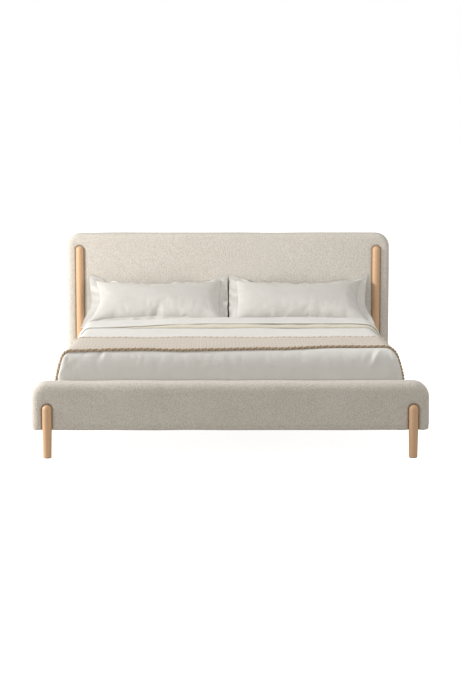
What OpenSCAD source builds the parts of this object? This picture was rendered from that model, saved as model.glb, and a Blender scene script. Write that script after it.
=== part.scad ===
// Double bed with an upholstered headboard, footboard and side rails, round ash posts and
// legs let half their thickness into the padding, a sprung slat base, a mattress and bedding.
// +Z is up, X runs across the bed, and -Y points towards the foot end.
// The origin is on the floor, under the middle of the bed. Millimetres.

/* [Mattress] */
// Width of the mattress
mattress_w = 1800; // [1400:50:2000]
// Length of the mattress
mattress_l = 2000; // [1900:10:2300]
// Height of the mattress
mattress_h = 240; // [180:5:300]
// Height of the mattress's underside above the floor
mattress_z = 300; // [290:1:320]
// Radius of the mattress's upright corners
mattress_corner_r = 60; // [30:5:90]
// Thickness of the quilted cover
ticking_t = 4; // [2:0.5:8]
// Thickness of the soft top layer
comfort_t = 60; // [30:5:90]
// Thickness of the pad under the springs
base_pad_t = 20; // [10:5:30]
// Thickness of the fitted sheet
sheet_t = 1; // [0.5:0.5:2]
// How far the fitted sheet turns under the mattress
sheet_hem = 90; // [60:10:120]
// Gap between the mattress and each side rail
side_gap = 8; // [4:1:12]
// Gap between the mattress and the footboard, where the duvet is tucked in
foot_gap = 20; // [18:1:30]
// Gap between the mattress and the headboard
head_gap = 10; // [4:1:20]

/* [Headboard] */
// Height of the headboard's top edge above the floor
headboard_top = 1100; // [950:10:1300]
// Thickness of the headboard
headboard_t = 90; // [80:1:120]
// Radius of the headboard's top corners
headboard_corner_r = 85; // [60:5:120]
// Rounding of the headboard's front edges
headboard_edge_r = 32; // [20:1:36]
// Rounding of the headboard's back edges
headboard_back_r = 12; // [8:1:20]

/* [Footboard] */
// Height of the footboard's top edge above the floor
footboard_top = 398; // [370:1:450]
// Thickness of the footboard
footboard_t = 100; // [90:1:125]
// Radius of the footboard's top corners
footboard_corner_r = 80; // [60:1:100]
// Rounding of the footboard's front edges
footboard_edge_r = 42; // [30:1:44]
// Rounding of the footboard's back edges
footboard_back_r = 22; // [16:1:22]
// How far the headboard and footboard stand out past each side rail
board_overhang = 75; // [60:1:100]

/* [Side rails] */
// Height of the side rails' top edges above the floor
rail_top = 350; // [345:1:380]
// Thickness of a side rail
rail_t = 62; // [50:1:75]
// Rounding of a side rail's outer top edge
rail_edge_r = 22; // [12:1:26]
// Thickness of the board inside a side rail
rail_board_t = 25; // [18:1:30]
// Clear height under all the upholstered pieces
board_bottom = 148; // [125:1:150]

/* [Upholstery] */
// Thickness of the boucle cover
cover_t = 2; // [1.5:0.5:3]
// Thickness of the foam on the front faces
face_foam_t = 22; // [18:1:26]
// Thickness of the foam wrapped over the edges
edge_foam_t = 25; // [15:1:30]
// Thickness of the plywood face panels
panel_t = 9; // [6:1:12]
// Thickness of the board that closes the headboard's back
lining_t = 3; // [2:1:6]

/* [Legs] */
// Diameter of the legs and posts
leg_d = 50; // [44:1:58]
// Diameter of the legs and posts at the floor
leg_foot_d = 44; // [38:1:50]
// Height of the front legs' domed tops
leg_top = 282; // [240:1:300]
// Height of the headboard posts' domed tops
post_top = 1017; // [900:1:1020]
// Distance from a board's end to the middle of its leg
leg_inset = 85; // [65:1:100]
// Thickness of the glides under the legs and posts
glide_t = 3; // [2:1:5]

/* [Slat base] */
// Number of slats on each side
slat_count = 14; // [10:1:16]
// Width of a slat
slat_w = 64; // [50:1:72]
// Thickness of a slat
slat_t = 9; // [7:1:12]
// Height of a slat's upward bow
slat_crown = 12; // [6:1:14]
// Width of the centre beam
beam_w = 45; // [40:1:60]
// Height of the centre beam
beam_h = 60; // [50:1:70]
// Width of a ledger that carries the slats
ledger_w = 30; // [25:1:40]
// Height of a ledger
ledger_h = 40; // [30:1:40]

/* [Centre legs] */
// Distance between the two centre legs
centre_leg_pitch = 550; // [400:10:700]
// Diameter of a centre leg
centre_leg_d = 32; // [28:1:40]
// Travel of a levelling foot
leveller_travel = 15; // [10:1:20]

/* [Bedding] */
// Thickness of the duvet on the mattress
duvet_t = 20; // [15:1:30]
// Thickness of the duvet down each side
duvet_side_t = 38; // [30:1:40]
// Height of the turned-back fold above the duvet
fold_h = 38; // [25:1:50]
// Depth of the turned-back fold
fold_l = 389; // [250:1:400]
// Thickness of the throw
throw_t = 7; // [4:1:10]
// Width of the throw, along the bed
throw_w = 510; // [400:10:700]
// Depth of a pillow with its flange
pillow_l = 525; // [450:5:560]
// Width of the flange round a pillow
pillow_flange = 50; // [30:5:60]
// Thickness of a filled pillow
pillow_t = 165; // [120:5:180]
// Lean of a pillow up from the mattress
pillow_lean = 29; // [20:1:34]
// Gap between the pillows, and between each one and the mattress's side
pillow_gap = 4; // [2:1:20]

/* [Hidden] */
$fn = 64;

// Clearances
groove_gap = 1;      // round a leg in the foam and the cover
leg_seat = 1;        // how deep a leg beds into its face panel
shank_gap = 0.2;     // round a bolt in timber or steel
running_gap = 0.05;  // round a screw or peg in its own bore
rest_gap = 0.3;      // between pieces that lift apart
drape_gap = 2;       // between layers of bedding
throw_gap = 1.2;     // between the throw and the duvet's sides

// Plan of the bed, from the foot end back
leg_r = leg_d / 2;
leg_in = cover_t + face_foam_t + leg_seat - leg_r; // middle of a leg, behind its board's face
leg_proud = leg_r - leg_in;
total_l = leg_proud + footboard_t + foot_gap + mattress_l + head_gap + headboard_t;
foot_face = -total_l / 2 + leg_proud;
foot_back = foot_face + footboard_t;
mattress_y0 = foot_back + foot_gap;
mattress_y1 = mattress_y0 + mattress_l;
head_face = mattress_y1 + head_gap;
head_back = head_face + headboard_t;
rail_in = mattress_w / 2 + side_gap;
rail_out = rail_in + rail_t;
board_w = 2 * (rail_out + board_overhang);
leg_x = board_w / 2 - leg_inset;
post_y = head_face + leg_in;
leg_y = foot_face + leg_in;
mattress_top = mattress_z + mattress_h;

// Headboard layers
head_panel_y = head_face + cover_t + face_foam_t;
head_frame_y = head_panel_y + panel_t;
head_lining_y = head_back - lining_t;
head_frame_back = head_lining_y - cover_t;
head_frame_t = head_frame_back - head_frame_y;
lining_margin = 15;
cover_hem = 30;
head_frame_w = board_w - 2 * (cover_t + edge_foam_t);
head_frame_top = headboard_top - cover_t - edge_foam_t;
frame_z = board_bottom + cover_t;
head_member = 70;
head_bottom_rail_h = 120;
head_inner_corner_r = headboard_corner_r - edge_foam_t;

// Footboard layers
foot_panel_y = foot_face + cover_t + face_foam_t;
foot_frame_y = foot_panel_y + panel_t;
foot_frame_t = foot_back - cover_t - foot_frame_y;
foot_frame_w = head_frame_w;
foot_frame_top = footboard_top - cover_t - edge_foam_t;
foot_member = 45;
foot_end_block = 120;
foot_inner_corner_r = footboard_corner_r - edge_foam_t;
foot_back_r = min(footboard_back_r, cover_t + edge_foam_t);

// Bolts: M8 with a washer, sunk in a counterbore
bolt_r = 4;
bolt_head_r = 6.5;
bolt_head_h = 8;
washer_r = 10;
washer_t = 1.6;
counterbore_r = 11;
counterbore_h = 12;
bolt_bite = 20;
post_bolt_z = [board_bottom + 150, (board_bottom + post_top) / 2, post_top - 80];
leg_bolt_z = [board_bottom + 35, leg_top - 50];

// Corner brackets
bracket_leg = 60;
bracket_t = 5;
bracket_h = 66;
bracket_hole = 34;
corner_bolt_bite = 22;

// Slat base
slat_end_top = mattress_z - sheet_t - rest_gap - slat_crown;
holder_wall = 4;
holder_base_h = 5;
holder_l = 42;
holder_slot_gap = 0.4;
holder_w = slat_w + 2 * (holder_wall + holder_slot_gap);
ledger_top = slat_end_top - slat_t - holder_base_h;
bracket_z0 = ledger_top - ledger_h - 4 - bracket_h;
bracket_bolt_z = [bracket_z0 + 16, bracket_z0 + 50];
peg_r = 4.5;
peg_h = 16;
slat_margin = 70;
slat_pitch = (mattress_l - 2 * slat_margin) / (slat_count - 1);
slat_steps = 16;
holder_out = rail_in - 1;
slat_x0 = holder_wall + 1;
slat_x1 = holder_out - holder_wall;
slat_flat = holder_l;

// Centre support
saddle_t = 3;
saddle_cup = 40;
saddle_w = 100;
saddle_gap = 1;
saddle_z0 = ledger_top - beam_h - saddle_t - 12;
saddle_h = beam_h + saddle_t + 12;
beam_y0 = foot_back + saddle_t + saddle_gap;
beam_y1 = head_face - saddle_t - saddle_gap;
beam_z0 = ledger_top - beam_h;
centre_wall = 2;
flange_w = 60;
flange_h = 3;
centre_y = [0, centre_leg_pitch];
insert_h = 24;
screw_r = 4;
pad_r = 22;
pad_h = 8;
socket_h = 4;
nut_af = 13;
nut_h = 5;
insert_lip = 2;
leg_end_z = pad_h + 1 + nut_h + rest_gap + insert_lip;
wood_screw_r = 2.5;
wood_screw_head_r = 5;
wood_screw_head_h = 2;
wood_screw_l = 26;
ledger_screw_count = 7;
ledger_screw_bite = 16;

// Bedding
duvet_y0 = mattress_y0 - foot_gap + 4;
duvet_front_t = foot_gap - 4 - drape_gap;
duvet_front_z0 = footboard_top - 18;
duvet_side_z0 = rail_top + 14;
duvet_in = mattress_w / 2 + drape_gap;
duvet_out = duvet_in + duvet_side_t;
duvet_z0 = mattress_top + sheet_t + rest_gap;
duvet_top = duvet_z0 + duvet_t;
duvet_shell = 1;
pillow_w = mattress_w / 2 - 2 * pillow_gap;
pillow_plate = 8;
pillow_shell = 1;
pillow_z = mattress_top + sheet_t + rest_gap + pillow_plate / 2;
pillow_y = mattress_y1 - 8 - pillow_l * cos(pillow_lean);
fold_y1 = pillow_y - 14;
fold_inset = 12;
throw_y0 = mattress_y0 + 30;
throw_z = duvet_top + rest_gap;
throw_end_z = rail_top + 8;
duvet_shoulder = 24;

// ---------- Shared shapes ----------

// Upright outline with round top corners and square bottom corners, drawn in X and Y for X and Z.
module top_rounded(w, z0, z1, r) {
    translate([-w / 2, z0]) square([w, z1 - z0 - r]);
    translate([-w / 2 + r, z0]) square([w - 2 * r, z1 - z0]);
    for (s = [-1, 1]) translate([s * (w / 2 - r), z1 - r]) circle(r);
}

// Plan outline with its own radius at the front and at the back corners.
module plan_rounded(w, t, front_r, back_r) {
    translate([-w / 2, front_r]) square([w, t - front_r - back_r]);
    translate([-w / 2 + front_r, 0]) square([w - 2 * front_r, t / 2]);
    translate([-w / 2 + back_r, t / 2]) square([w - 2 * back_r, t / 2]);
    for (s = [-1, 1]) {
        translate([s * (w / 2 - front_r), front_r]) circle(front_r);
        if (back_r > 0) translate([s * (w / 2 - back_r), t - back_r]) circle(back_r);
    }
}

// Cross-section with round top edges, drawn in X and Y for Y and Z.
module edge_section(t, z0, z1, front_r, back_r) {
    r = max(front_r, back_r);
    translate([0, z0]) square([t, z1 - z0 - r]);
    translate([front_r, z0]) square([t - front_r - back_r, z1 - z0]);
    translate([front_r, z1 - front_r]) circle(front_r);
    if (back_r > 0) translate([t - back_r, z1 - back_r]) circle(back_r);
    if (back_r < r) translate([t / 2, z1 - r - 1]) square([t / 2, r - back_r + 1]);
}

// An outline drawn in X and Z, stood up and given a thickness along +Y.
module stand(t) {
    translate([0, t, 0]) rotate([90, 0, 0]) linear_extrude(t) children();
}

// Padded board: its front face is at y = 0 and its ends and top edges are rounded.
module padded_board(w, t, z0, z1, corner_r, front_r, back_r) {
    intersection() {
        stand(t) top_rounded(w, z0, z1, corner_r);
        translate([0, 0, z0]) linear_extrude(z1 - z0) plan_rounded(w, t, front_r, back_r);
        translate([-w / 2, 0, 0]) rotate([90, 0, 90]) linear_extrude(w)
            edge_section(t, z0, z1, front_r, back_r);
    }
}

// Round post with a domed top and a tapered foot, standing at the origin.
module round_post(top) {
    taper_top = board_bottom;
    translate([0, 0, glide_t]) cylinder(h = taper_top - glide_t, r1 = leg_foot_d / 2, r2 = leg_r);
    translate([0, 0, taper_top]) cylinder(h = top - leg_r - taper_top, r = leg_r);
    translate([0, 0, top - leg_r]) sphere(leg_r);
}

// The space that a post needs, with a gap all round it.
module post_groove(top, gap) {
    r = leg_r + gap;
    z0 = board_bottom - 1;
    translate([0, 0, z0]) cylinder(h = top + gap - r - z0, r = r);
    translate([0, 0, top + gap - r]) sphere(r);
}

// Bolt along -Y: its washer's face is at the origin and its head is on the +Y side.
module bolt_back(shank) {
    rotate([90, 0, 0]) cylinder(h = shank, r = bolt_r);
    rotate([-90, 0, 0]) cylinder(h = washer_t, r = washer_r);
    translate([0, washer_t, 0]) rotate([-90, 0, 0]) cylinder(h = bolt_head_h, r = bolt_head_r);
}

// Clearance hole along -Y from the origin.
module hole_back(length, r) {
    rotate([90, 0, 0]) cylinder(h = length, r = r);
}

// A list of points in reverse order, and the same mirrored about the bed's middle.
function reversed(list) = [for (i = [len(list) - 1 : -1 : 0]) list[i]];
function mirrored(list) = [for (p = reversed(list)) [-p[0], p[1]]];

// Both sides of the bed: children() on the right, mirrored on the left.
module both_sides() {
    children();
    mirror([1, 0, 0]) children();
}

// ---------- Headboard ----------

module head_post_grooves(gap) {
    for (s = [-1, 1]) translate([s * leg_x, post_y, 0]) post_groove(post_top, gap);
}

head_bolt_y = head_frame_back - counterbore_h;
head_bolt_shank = head_bolt_y - (post_y + leg_r - bolt_bite);

module head_bolt_holes() {
    for (s = [-1, 1], z = post_bolt_z) translate([s * leg_x, head_bolt_y, z]) {
        hole_back(head_bolt_y - head_face, bolt_r + shank_gap);
        rotate([-90, 0, 0]) cylinder(h = counterbore_h + 1, r = counterbore_r);
    }
}

// Timber members behind the face panel: stiles, a top rail, a bottom rail and two uprights.
module headboard_frame() {
    t = head_frame_t;
    half = head_frame_w / 2;
    stile_in = leg_x - head_member / 2;
    upright_x = board_w / 6;
    color("burlywood") translate([0, head_frame_y, 0]) difference() {
        union() {
            for (s = [-1, 1]) translate([s * (half + stile_in) / 2, 0, 0])
                translate([-(half - stile_in) / 2, 0, frame_z])
                    cube([half - stile_in, t, head_frame_top - head_inner_corner_r - frame_z]);
            translate([-stile_in, 0, frame_z]) cube([2 * stile_in, t, head_bottom_rail_h]);
            translate([-(half - head_inner_corner_r), 0, head_frame_top - head_member])
                cube([2 * (half - head_inner_corner_r), t, head_member]);
            for (s = [-1, 1]) translate([s * upright_x - head_member / 2, 0, frame_z])
                cube([head_member, t, head_frame_top - frame_z]);
        }
        translate([0, -head_frame_y, 0]) {
            head_bolt_holes();
            head_bracket_holes();
        }
    }
}

module headboard_panel() {
    color("wheat") difference() {
        translate([0, head_panel_y, 0]) stand(panel_t)
            top_rounded(head_frame_w, frame_z, head_frame_top, head_inner_corner_r);
        head_post_grooves(running_gap);
        head_bolt_holes();
        head_bracket_holes();
    }
}

// The headboard's padded outline, shrunk on all sides by the inset.
module headboard_body(inset) {
    translate([0, head_face + inset, 0])
        padded_board(board_w - 2 * inset, headboard_t - lining_t - 2 * inset, board_bottom + inset,
            headboard_top - inset, headboard_corner_r - inset, headboard_edge_r - inset,
            headboard_back_r - inset);
}

module headboard_foam() {
    color("ivory") difference() {
        headboard_body(cover_t);
        translate([0, head_panel_y, 0]) stand(headboard_t)
            top_rounded(head_frame_w, frame_z - 1, head_frame_top, head_inner_corner_r);
        head_post_grooves(groove_gap);
        packer_blocks(1);
    }
}

module headboard_cover() {
    color("linen") difference() {
        headboard_body(0);
        headboard_body(cover_t);
        translate([0, head_frame_back - 1, 0]) stand(cover_t + 2)
            top_rounded(head_frame_w - 2 * cover_hem, frame_z + cover_hem, head_frame_top - cover_hem,
                head_inner_corner_r - cover_hem / 2);
        head_post_grooves(groove_gap);
        packer_blocks(1);
    }
}

// Thin board that closes the back and covers the cover's turned-in edge.
module headboard_lining() {
    color("gainsboro") translate([0, head_lining_y, 0]) stand(lining_t)
        top_rounded(board_w - 2 * lining_margin, board_bottom + lining_margin,
            headboard_top - lining_margin, headboard_corner_r - lining_margin);
}

packer_t = head_panel_y - head_face;
saddle_pad_w = saddle_w + 10;

// Hardwood blocks in the foam, where brackets and the beam saddle bear on the headboard.
module packer_blocks(gap) {
    for (s = [-1, 1])
        translate([s * (rail_in - bracket_leg / 2) - bracket_leg / 2 - gap, head_face, bracket_z0 - gap])
            cube([bracket_leg + 2 * gap, packer_t, bracket_h + 2 * gap]);
    translate([-saddle_pad_w / 2 - gap, head_face, saddle_z0 - gap])
        cube([saddle_pad_w + 2 * gap, packer_t, saddle_h + 2 * gap]);
}

module headboard_packers() {
    color("peru") difference() {
        packer_blocks(0);
        head_bracket_holes();
        saddle_screw_holes(head_face, 1);
    }
}

module headboard_post(side) {
    color("burlywood") translate([side * leg_x, post_y, 0]) difference() {
        round_post(post_top);
        for (z = post_bolt_z) translate([0, leg_r + 1, z])
            hole_back(bolt_bite + 1 + rest_gap, bolt_r + running_gap);
    }
}

module headboard_post_bolts() {
    color("silver") for (s = [-1, 1], z = post_bolt_z)
        translate([s * leg_x, head_bolt_y, z]) bolt_back(head_bolt_shank);
}

module glides(y) {
    color("dimgray") for (s = [-1, 1]) translate([s * leg_x, y, 0])
        cylinder(h = glide_t, r = leg_foot_d / 2 - 3);
}

// ---------- Footboard ----------

module foot_leg_grooves(gap) {
    for (s = [-1, 1]) translate([s * leg_x, leg_y, 0]) post_groove(leg_top, gap);
}

foot_bolt_y = foot_back - cover_t - counterbore_h;
foot_bolt_shank = foot_bolt_y - (leg_y + leg_r - bolt_bite);

module foot_bolt_holes() {
    for (s = [-1, 1], z = leg_bolt_z) translate([s * leg_x, foot_bolt_y, z]) {
        hole_back(foot_bolt_y - foot_face, bolt_r + shank_gap);
        rotate([-90, 0, 0]) cylinder(h = counterbore_h + cover_t + 1, r = counterbore_r);
    }
}

// Ladder of timber behind the face panel, with solid blocks where the legs and brackets bolt on.
module footboard_frame() {
    half = foot_frame_w / 2;
    block_in = half - foot_end_block - bracket_leg;
    color("burlywood") difference() {
        translate([0, foot_frame_y, 0]) union() {
            for (s = [-1, 1]) translate([s * (half + block_in) / 2 - (half - block_in) / 2, 0, frame_z])
                cube([half - block_in, foot_frame_t, foot_frame_top - foot_inner_corner_r - frame_z]);
            translate([-half, 0, frame_z]) cube([2 * half, foot_frame_t, foot_member]);
            translate([-(half - foot_inner_corner_r), 0, foot_frame_top - foot_member])
                cube([2 * (half - foot_inner_corner_r), foot_frame_t, foot_member]);
            translate([-saddle_pad_w / 2, 0, frame_z])
                cube([saddle_pad_w, foot_frame_t, foot_frame_top - frame_z]);
        }
        foot_bolt_holes();
        foot_bracket_holes();
        saddle_screw_holes(foot_back, -1);
    }
}

module footboard_panel() {
    color("wheat") difference() {
        translate([0, foot_panel_y, 0]) stand(panel_t)
            top_rounded(foot_frame_w, frame_z, foot_frame_top, foot_inner_corner_r);
        foot_leg_grooves(running_gap);
        foot_bolt_holes();
    }
}

module footboard_body(inset) {
    padded_board(board_w - 2 * inset, footboard_t - 2 * inset, board_bottom + inset,
        footboard_top - inset, footboard_corner_r - inset, footboard_edge_r - inset, foot_back_r - inset);
}

module footboard_foam() {
    color("ivory") difference() {
        translate([0, foot_face + cover_t, 0]) footboard_body(cover_t);
        translate([0, foot_panel_y, 0]) stand(footboard_t)
            top_rounded(foot_frame_w, frame_z - 1, foot_frame_top, foot_inner_corner_r);
        foot_leg_grooves(groove_gap);
    }
}

module footboard_cover() {
    color("linen") difference() {
        translate([0, foot_face, 0]) footboard_body(0);
        translate([0, foot_face + cover_t, 0]) footboard_body(cover_t);
        foot_leg_grooves(groove_gap);
        foot_bolt_holes();
        foot_bracket_holes();
        saddle_screw_holes(foot_back, -1);
    }
}

module front_leg(side) {
    color("burlywood") translate([side * leg_x, leg_y, 0]) difference() {
        round_post(leg_top);
        for (z = leg_bolt_z) translate([0, leg_r + 1, z])
            hole_back(bolt_bite + 1 + rest_gap, bolt_r + running_gap);
    }
}

module front_leg_bolts() {
    color("silver") for (s = [-1, 1], z = leg_bolt_z)
        translate([s * leg_x, foot_bolt_y, z]) bolt_back(foot_bolt_shank);
}

// ---------- Side rails ----------

rail_l = head_face - foot_back;
rail_board_z1 = rail_top - cover_t - 15;
rail_board_out = rail_in + cover_t + rail_board_t;

// Right-hand rail section with its inner face at x = 0, drawn in X and Y for X and Z.
module rail_section(inset) {
    t = rail_t - 2 * inset;
    z0 = board_bottom + inset;
    z1 = rail_top - inset;
    r = rail_edge_r - inset;
    translate([inset, z0]) square([t, z1 - z0 - r]);
    translate([inset, z0]) square([t - r, z1 - z0]);
    translate([inset + t - r, z1 - r]) circle(r);
}

// A section in X and Z, run the length of the rail from the footboard to the headboard.
module rail_run() {
    translate([rail_in, head_face, 0]) rotate([90, 0, 0]) linear_extrude(rail_l) children();
}

// Keeps a rail clear of the headboard post.
module rail_notch() {
    translate([leg_x, post_y, 0]) post_groove(post_top, groove_gap);
}

module side_rail_board() {
    color("wheat") difference() {
        translate([rail_in + cover_t, foot_back, board_bottom + cover_t])
            cube([rail_board_t, rail_l, rail_board_z1 - board_bottom - cover_t]);
        rail_notch();
        rail_bracket_holes();
        ledger_screw_holes(ledger_screw_bite, running_gap);
    }
}

module side_rail_foam() {
    color("ivory") difference() {
        rail_run() rail_section(cover_t);
        translate([rail_in, foot_back - 1, board_bottom - 1])
            cube([cover_t + rail_board_t, rail_l + 2, rail_board_z1 - board_bottom + 1]);
        rail_notch();
    }
}

module side_rail_cover() {
    color("linen") difference() {
        rail_run() difference() {
            rail_section(0);
            rail_section(cover_t);
        }
        rail_notch();
        rail_bracket_holes();
        ledger_screw_holes(ledger_screw_bite, shank_gap);
    }
}

ledger_screw_z = ledger_top - ledger_h / 2;

function holder_y(i) = mattress_y0 + slat_margin + i * slat_pitch;

// Batten that carries the outer ends of the slats, with a hole for each holder's peg.
module ledger() {
    color("tan") difference() {
        translate([rail_in - ledger_w, mattress_y0 + slat_margin - holder_w / 2, ledger_top - ledger_h])
            cube([ledger_w, mattress_l - 2 * slat_margin + holder_w, ledger_h]);
        for (i = [0 : slat_count - 1])
            translate([rail_in - ledger_w / 2, holder_y(i), ledger_top - peg_h - 1])
                cylinder(h = peg_h + 2, r = peg_r + running_gap);
        ledger_screw_holes(1, shank_gap);
    }
}

function ledger_screw_y(i) = mattress_y0 + slat_margin + slat_pitch / 2
    + i * (mattress_l - 2 * slat_margin - slat_pitch) / (ledger_screw_count - 1);

// Holes through the ledger and on into the rail.
module ledger_screw_holes(bite, gap) {
    for (i = [0 : ledger_screw_count - 1])
        translate([rail_in - ledger_w - 1, ledger_screw_y(i), ledger_screw_z]) rotate([0, 90, 0])
            cylinder(h = ledger_w + bite + 1 + rest_gap, r = wood_screw_r + gap);
}

module wood_screw(length) {
    cylinder(h = length, r = wood_screw_r);
    translate([0, 0, -wood_screw_head_h]) cylinder(h = wood_screw_head_h, r = wood_screw_head_r);
}

module ledger_screws() {
    color("silver") both_sides() for (i = [0 : ledger_screw_count - 1])
        translate([rail_in - ledger_w, ledger_screw_y(i), ledger_screw_z]) rotate([0, 90, 0])
            wood_screw(ledger_w + ledger_screw_bite);
}

// ---------- Corner brackets ----------

// Steel angle at the footboard's right-hand corner, with two holes in each flange.
module corner_bracket() {
    difference() {
        translate([rail_in - bracket_leg, foot_back, bracket_z0]) union() {
            cube([bracket_leg, bracket_t, bracket_h]);
            translate([bracket_leg - bracket_t, 0, 0]) cube([bracket_t, bracket_leg, bracket_h]);
        }
        for (z = bracket_bolt_z) {
            translate([rail_in - bracket_hole, foot_back + bracket_t + 1, z])
                hole_back(bracket_t + 2, bolt_r + shank_gap);
            translate([rail_in - bracket_t - 1, foot_back + bracket_hole, z]) rotate([0, 90, 0])
                cylinder(h = bracket_t + 2, r = bolt_r + shank_gap);
        }
    }
}

// Copies the footboard's end of the bed to the headboard's end.
module both_ends() {
    children();
    translate([0, foot_back + head_face, 0]) mirror([0, 1, 0]) children();
}

module corner_brackets() {
    color("dimgray") both_sides() both_ends() corner_bracket();
}

foot_corner_shank = bracket_t + cover_t + corner_bolt_bite;
head_corner_shank = bracket_t + packer_t + panel_t + corner_bolt_bite;
rail_corner_shank = bracket_t + cover_t + corner_bolt_bite;

module foot_bracket_holes() {
    both_sides() for (z = bracket_bolt_z) translate([rail_in - bracket_hole, foot_back + 1, z])
        hole_back(foot_corner_shank - bracket_t + 1 + rest_gap, bolt_r + shank_gap);
}

module head_bracket_holes() {
    both_sides() for (z = bracket_bolt_z) translate([rail_in - bracket_hole, head_face - 1, z])
        rotate([-90, 0, 0])
            cylinder(h = head_corner_shank - bracket_t + 1 + rest_gap, r = bolt_r + shank_gap);
}

module rail_bracket_holes() {
    for (y = [foot_back + bracket_hole, head_face - bracket_hole], z = bracket_bolt_z)
        translate([rail_in - 1, y, z]) rotate([0, 90, 0])
            cylinder(h = cover_t + corner_bolt_bite + 1 + rest_gap, r = bolt_r + shank_gap);
}

module corner_bolts() {
    color("silver") both_sides() for (z = bracket_bolt_z) {
        translate([rail_in - bracket_hole, foot_back + bracket_t, z]) bolt_back(foot_corner_shank);
        translate([rail_in - bracket_hole, head_face - bracket_t, z]) mirror([0, 1, 0])
            bolt_back(head_corner_shank);
        for (y = [foot_back + bracket_hole, head_face - bracket_hole])
            translate([rail_in - bracket_t, y, z]) rotate([0, 0, 90]) bolt_back(rail_corner_shank);
    }
}

// ---------- Centre beam ----------

module centre_beam() {
    color("tan") difference() {
        translate([-beam_w / 2, beam_y0, beam_z0]) cube([beam_w, beam_y1 - beam_y0, beam_h]);
        for (s = [-1, 1], i = [0 : slat_count - 1])
            translate([0, holder_y(i) + s * peg_offset, ledger_top - peg_h - 1])
                cylinder(h = peg_h + 2, r = peg_r + running_gap);
        for (y = centre_y) centre_screw_places(y) translate([0, 0, -1])
            cylinder(h = wood_screw_l + 2, r = wood_screw_r + running_gap);
    }
}

// Folded steel cup on a back plate. Its plate lies on the footboard and its mouth faces +Y.
module saddle() {
    inner = beam_w + 2;
    difference() {
        union() {
            translate([-saddle_w / 2, foot_back, saddle_z0]) cube([saddle_w, saddle_t, saddle_h]);
            translate([-inner / 2 - saddle_t, foot_back, beam_z0 - saddle_t])
                cube([inner + 2 * saddle_t, saddle_t + saddle_cup, beam_h / 2 + saddle_t]);
        }
        translate([-inner / 2, foot_back + saddle_t, beam_z0]) cube([inner, saddle_cup + 1, beam_h]);
        saddle_screw_places() translate([0, -1, 0]) rotate([-90, 0, 0])
            cylinder(h = saddle_t + 2, r = wood_screw_r + shank_gap);
    }
}

module beam_saddles() {
    color("dimgray") both_ends() saddle();
}

// The four screw places in a saddle's plate, on the footboard's face.
module saddle_screw_places() {
    for (x = [-1, 1], z = [saddle_z0 + 12, saddle_z0 + saddle_h - 12])
        translate([x * (saddle_w / 2 - 9), foot_back, z]) children();
}

// Screw holes into a board whose face is at y, going in the given direction.
module saddle_screw_holes(y, direction) {
    translate([0, y, 0]) mirror([0, direction < 0 ? 1 : 0, 0]) translate([0, -foot_back, 0])
        saddle_screw_places() translate([0, -1, 0]) rotate([-90, 0, 0])
            cylinder(h = saddle_screw_bite + 2, r = wood_screw_r + running_gap);
}

saddle_screw_bite = packer_t - 2;

module saddle_screws() {
    color("silver") both_ends() saddle_screw_places() translate([0, saddle_t, 0]) rotate([90, 0, 0])
        wood_screw(saddle_t + saddle_screw_bite);
}

// ---------- Centre legs and levelling feet ----------

// The four screw places in a centre leg's flange.
module centre_screw_places(y) {
    for (x = [-1, 1], dy = [-1, 1])
        translate([x * (beam_w / 2 - 8), y + dy * (flange_w / 2 - 8), beam_z0]) children();
}

module centre_leg(y) {
    color("dimgray") difference() {
        union() {
            translate([0, y, leg_end_z]) cylinder(h = beam_z0 - leg_end_z - flange_h, r = centre_leg_d / 2);
            translate([-beam_w / 2, y - flange_w / 2, beam_z0 - flange_h])
                cube([beam_w, flange_w, flange_h]);
        }
        translate([0, y, leg_end_z - 1])
            cylinder(h = beam_z0 - leg_end_z - flange_h + 1, r = centre_leg_d / 2 - centre_wall);
        centre_screw_places(y) translate([0, 0, -flange_h - 1])
            cylinder(h = flange_h + 2, r = wood_screw_r + shank_gap);
    }
}

module centre_leg_screws() {
    color("silver") for (y = centre_y) centre_screw_places(y) translate([0, 0, -flange_h])
        wood_screw(flange_h + wood_screw_l);
}

// Threaded plastic plugs in the legs' lower ends.
module centre_leg_inserts() {
    color("black") for (y = centre_y) translate([0, y, leg_end_z]) difference() {
        union() {
            cylinder(h = insert_h, r = centre_leg_d / 2 - centre_wall);
            translate([0, 0, -insert_lip]) cylinder(h = insert_lip, r = centre_leg_d / 2);
        }
        translate([0, 0, -3]) cylinder(h = insert_h + 4, r = screw_r + running_gap);
    }
}

module leveller_pad(y) {
    color("black") translate([0, y, 0]) difference() {
        union() {
            cylinder(h = pad_h - 3, r = pad_r);
            translate([0, 0, pad_h - 3]) cylinder(h = 3, r1 = pad_r, r2 = pad_r - 8);
        }
        translate([0, 0, socket_h]) cylinder(h = pad_h, r = screw_r + running_gap);
    }
}

screw_top = leg_end_z + insert_h + leveller_travel + 10;

module leveller_screw(y) {
    color("silver") translate([0, y, 0]) {
        translate([0, 0, socket_h + rest_gap]) cylinder(h = screw_top - socket_h - rest_gap, r = screw_r);
        translate([0, 0, pad_h + 1]) cylinder(h = nut_h, r = nut_af / sqrt(3), $fn = 6);
    }
}

// ---------- Slats ----------

// Height of a slat's bow above its flat ends, at a share of the way along its free span.
function bow(u) = slat_crown * (1 - cos(360 * u)) / 2;

slat_span = slat_x1 - slat_x0 - 2 * slat_flat;
function slat_line(z) = concat([[slat_x0, z]],
    [for (i = [0 : slat_steps]) [slat_x0 + slat_flat + slat_span * i / slat_steps, z + bow(i / slat_steps)]],
    [[slat_x1, z]]);

module slat() {
    translate([0, slat_w / 2, 0]) rotate([90, 0, 0]) linear_extrude(slat_w)
        polygon(concat(slat_line(slat_end_top), reversed(slat_line(slat_end_top - slat_t))));
}

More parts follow.
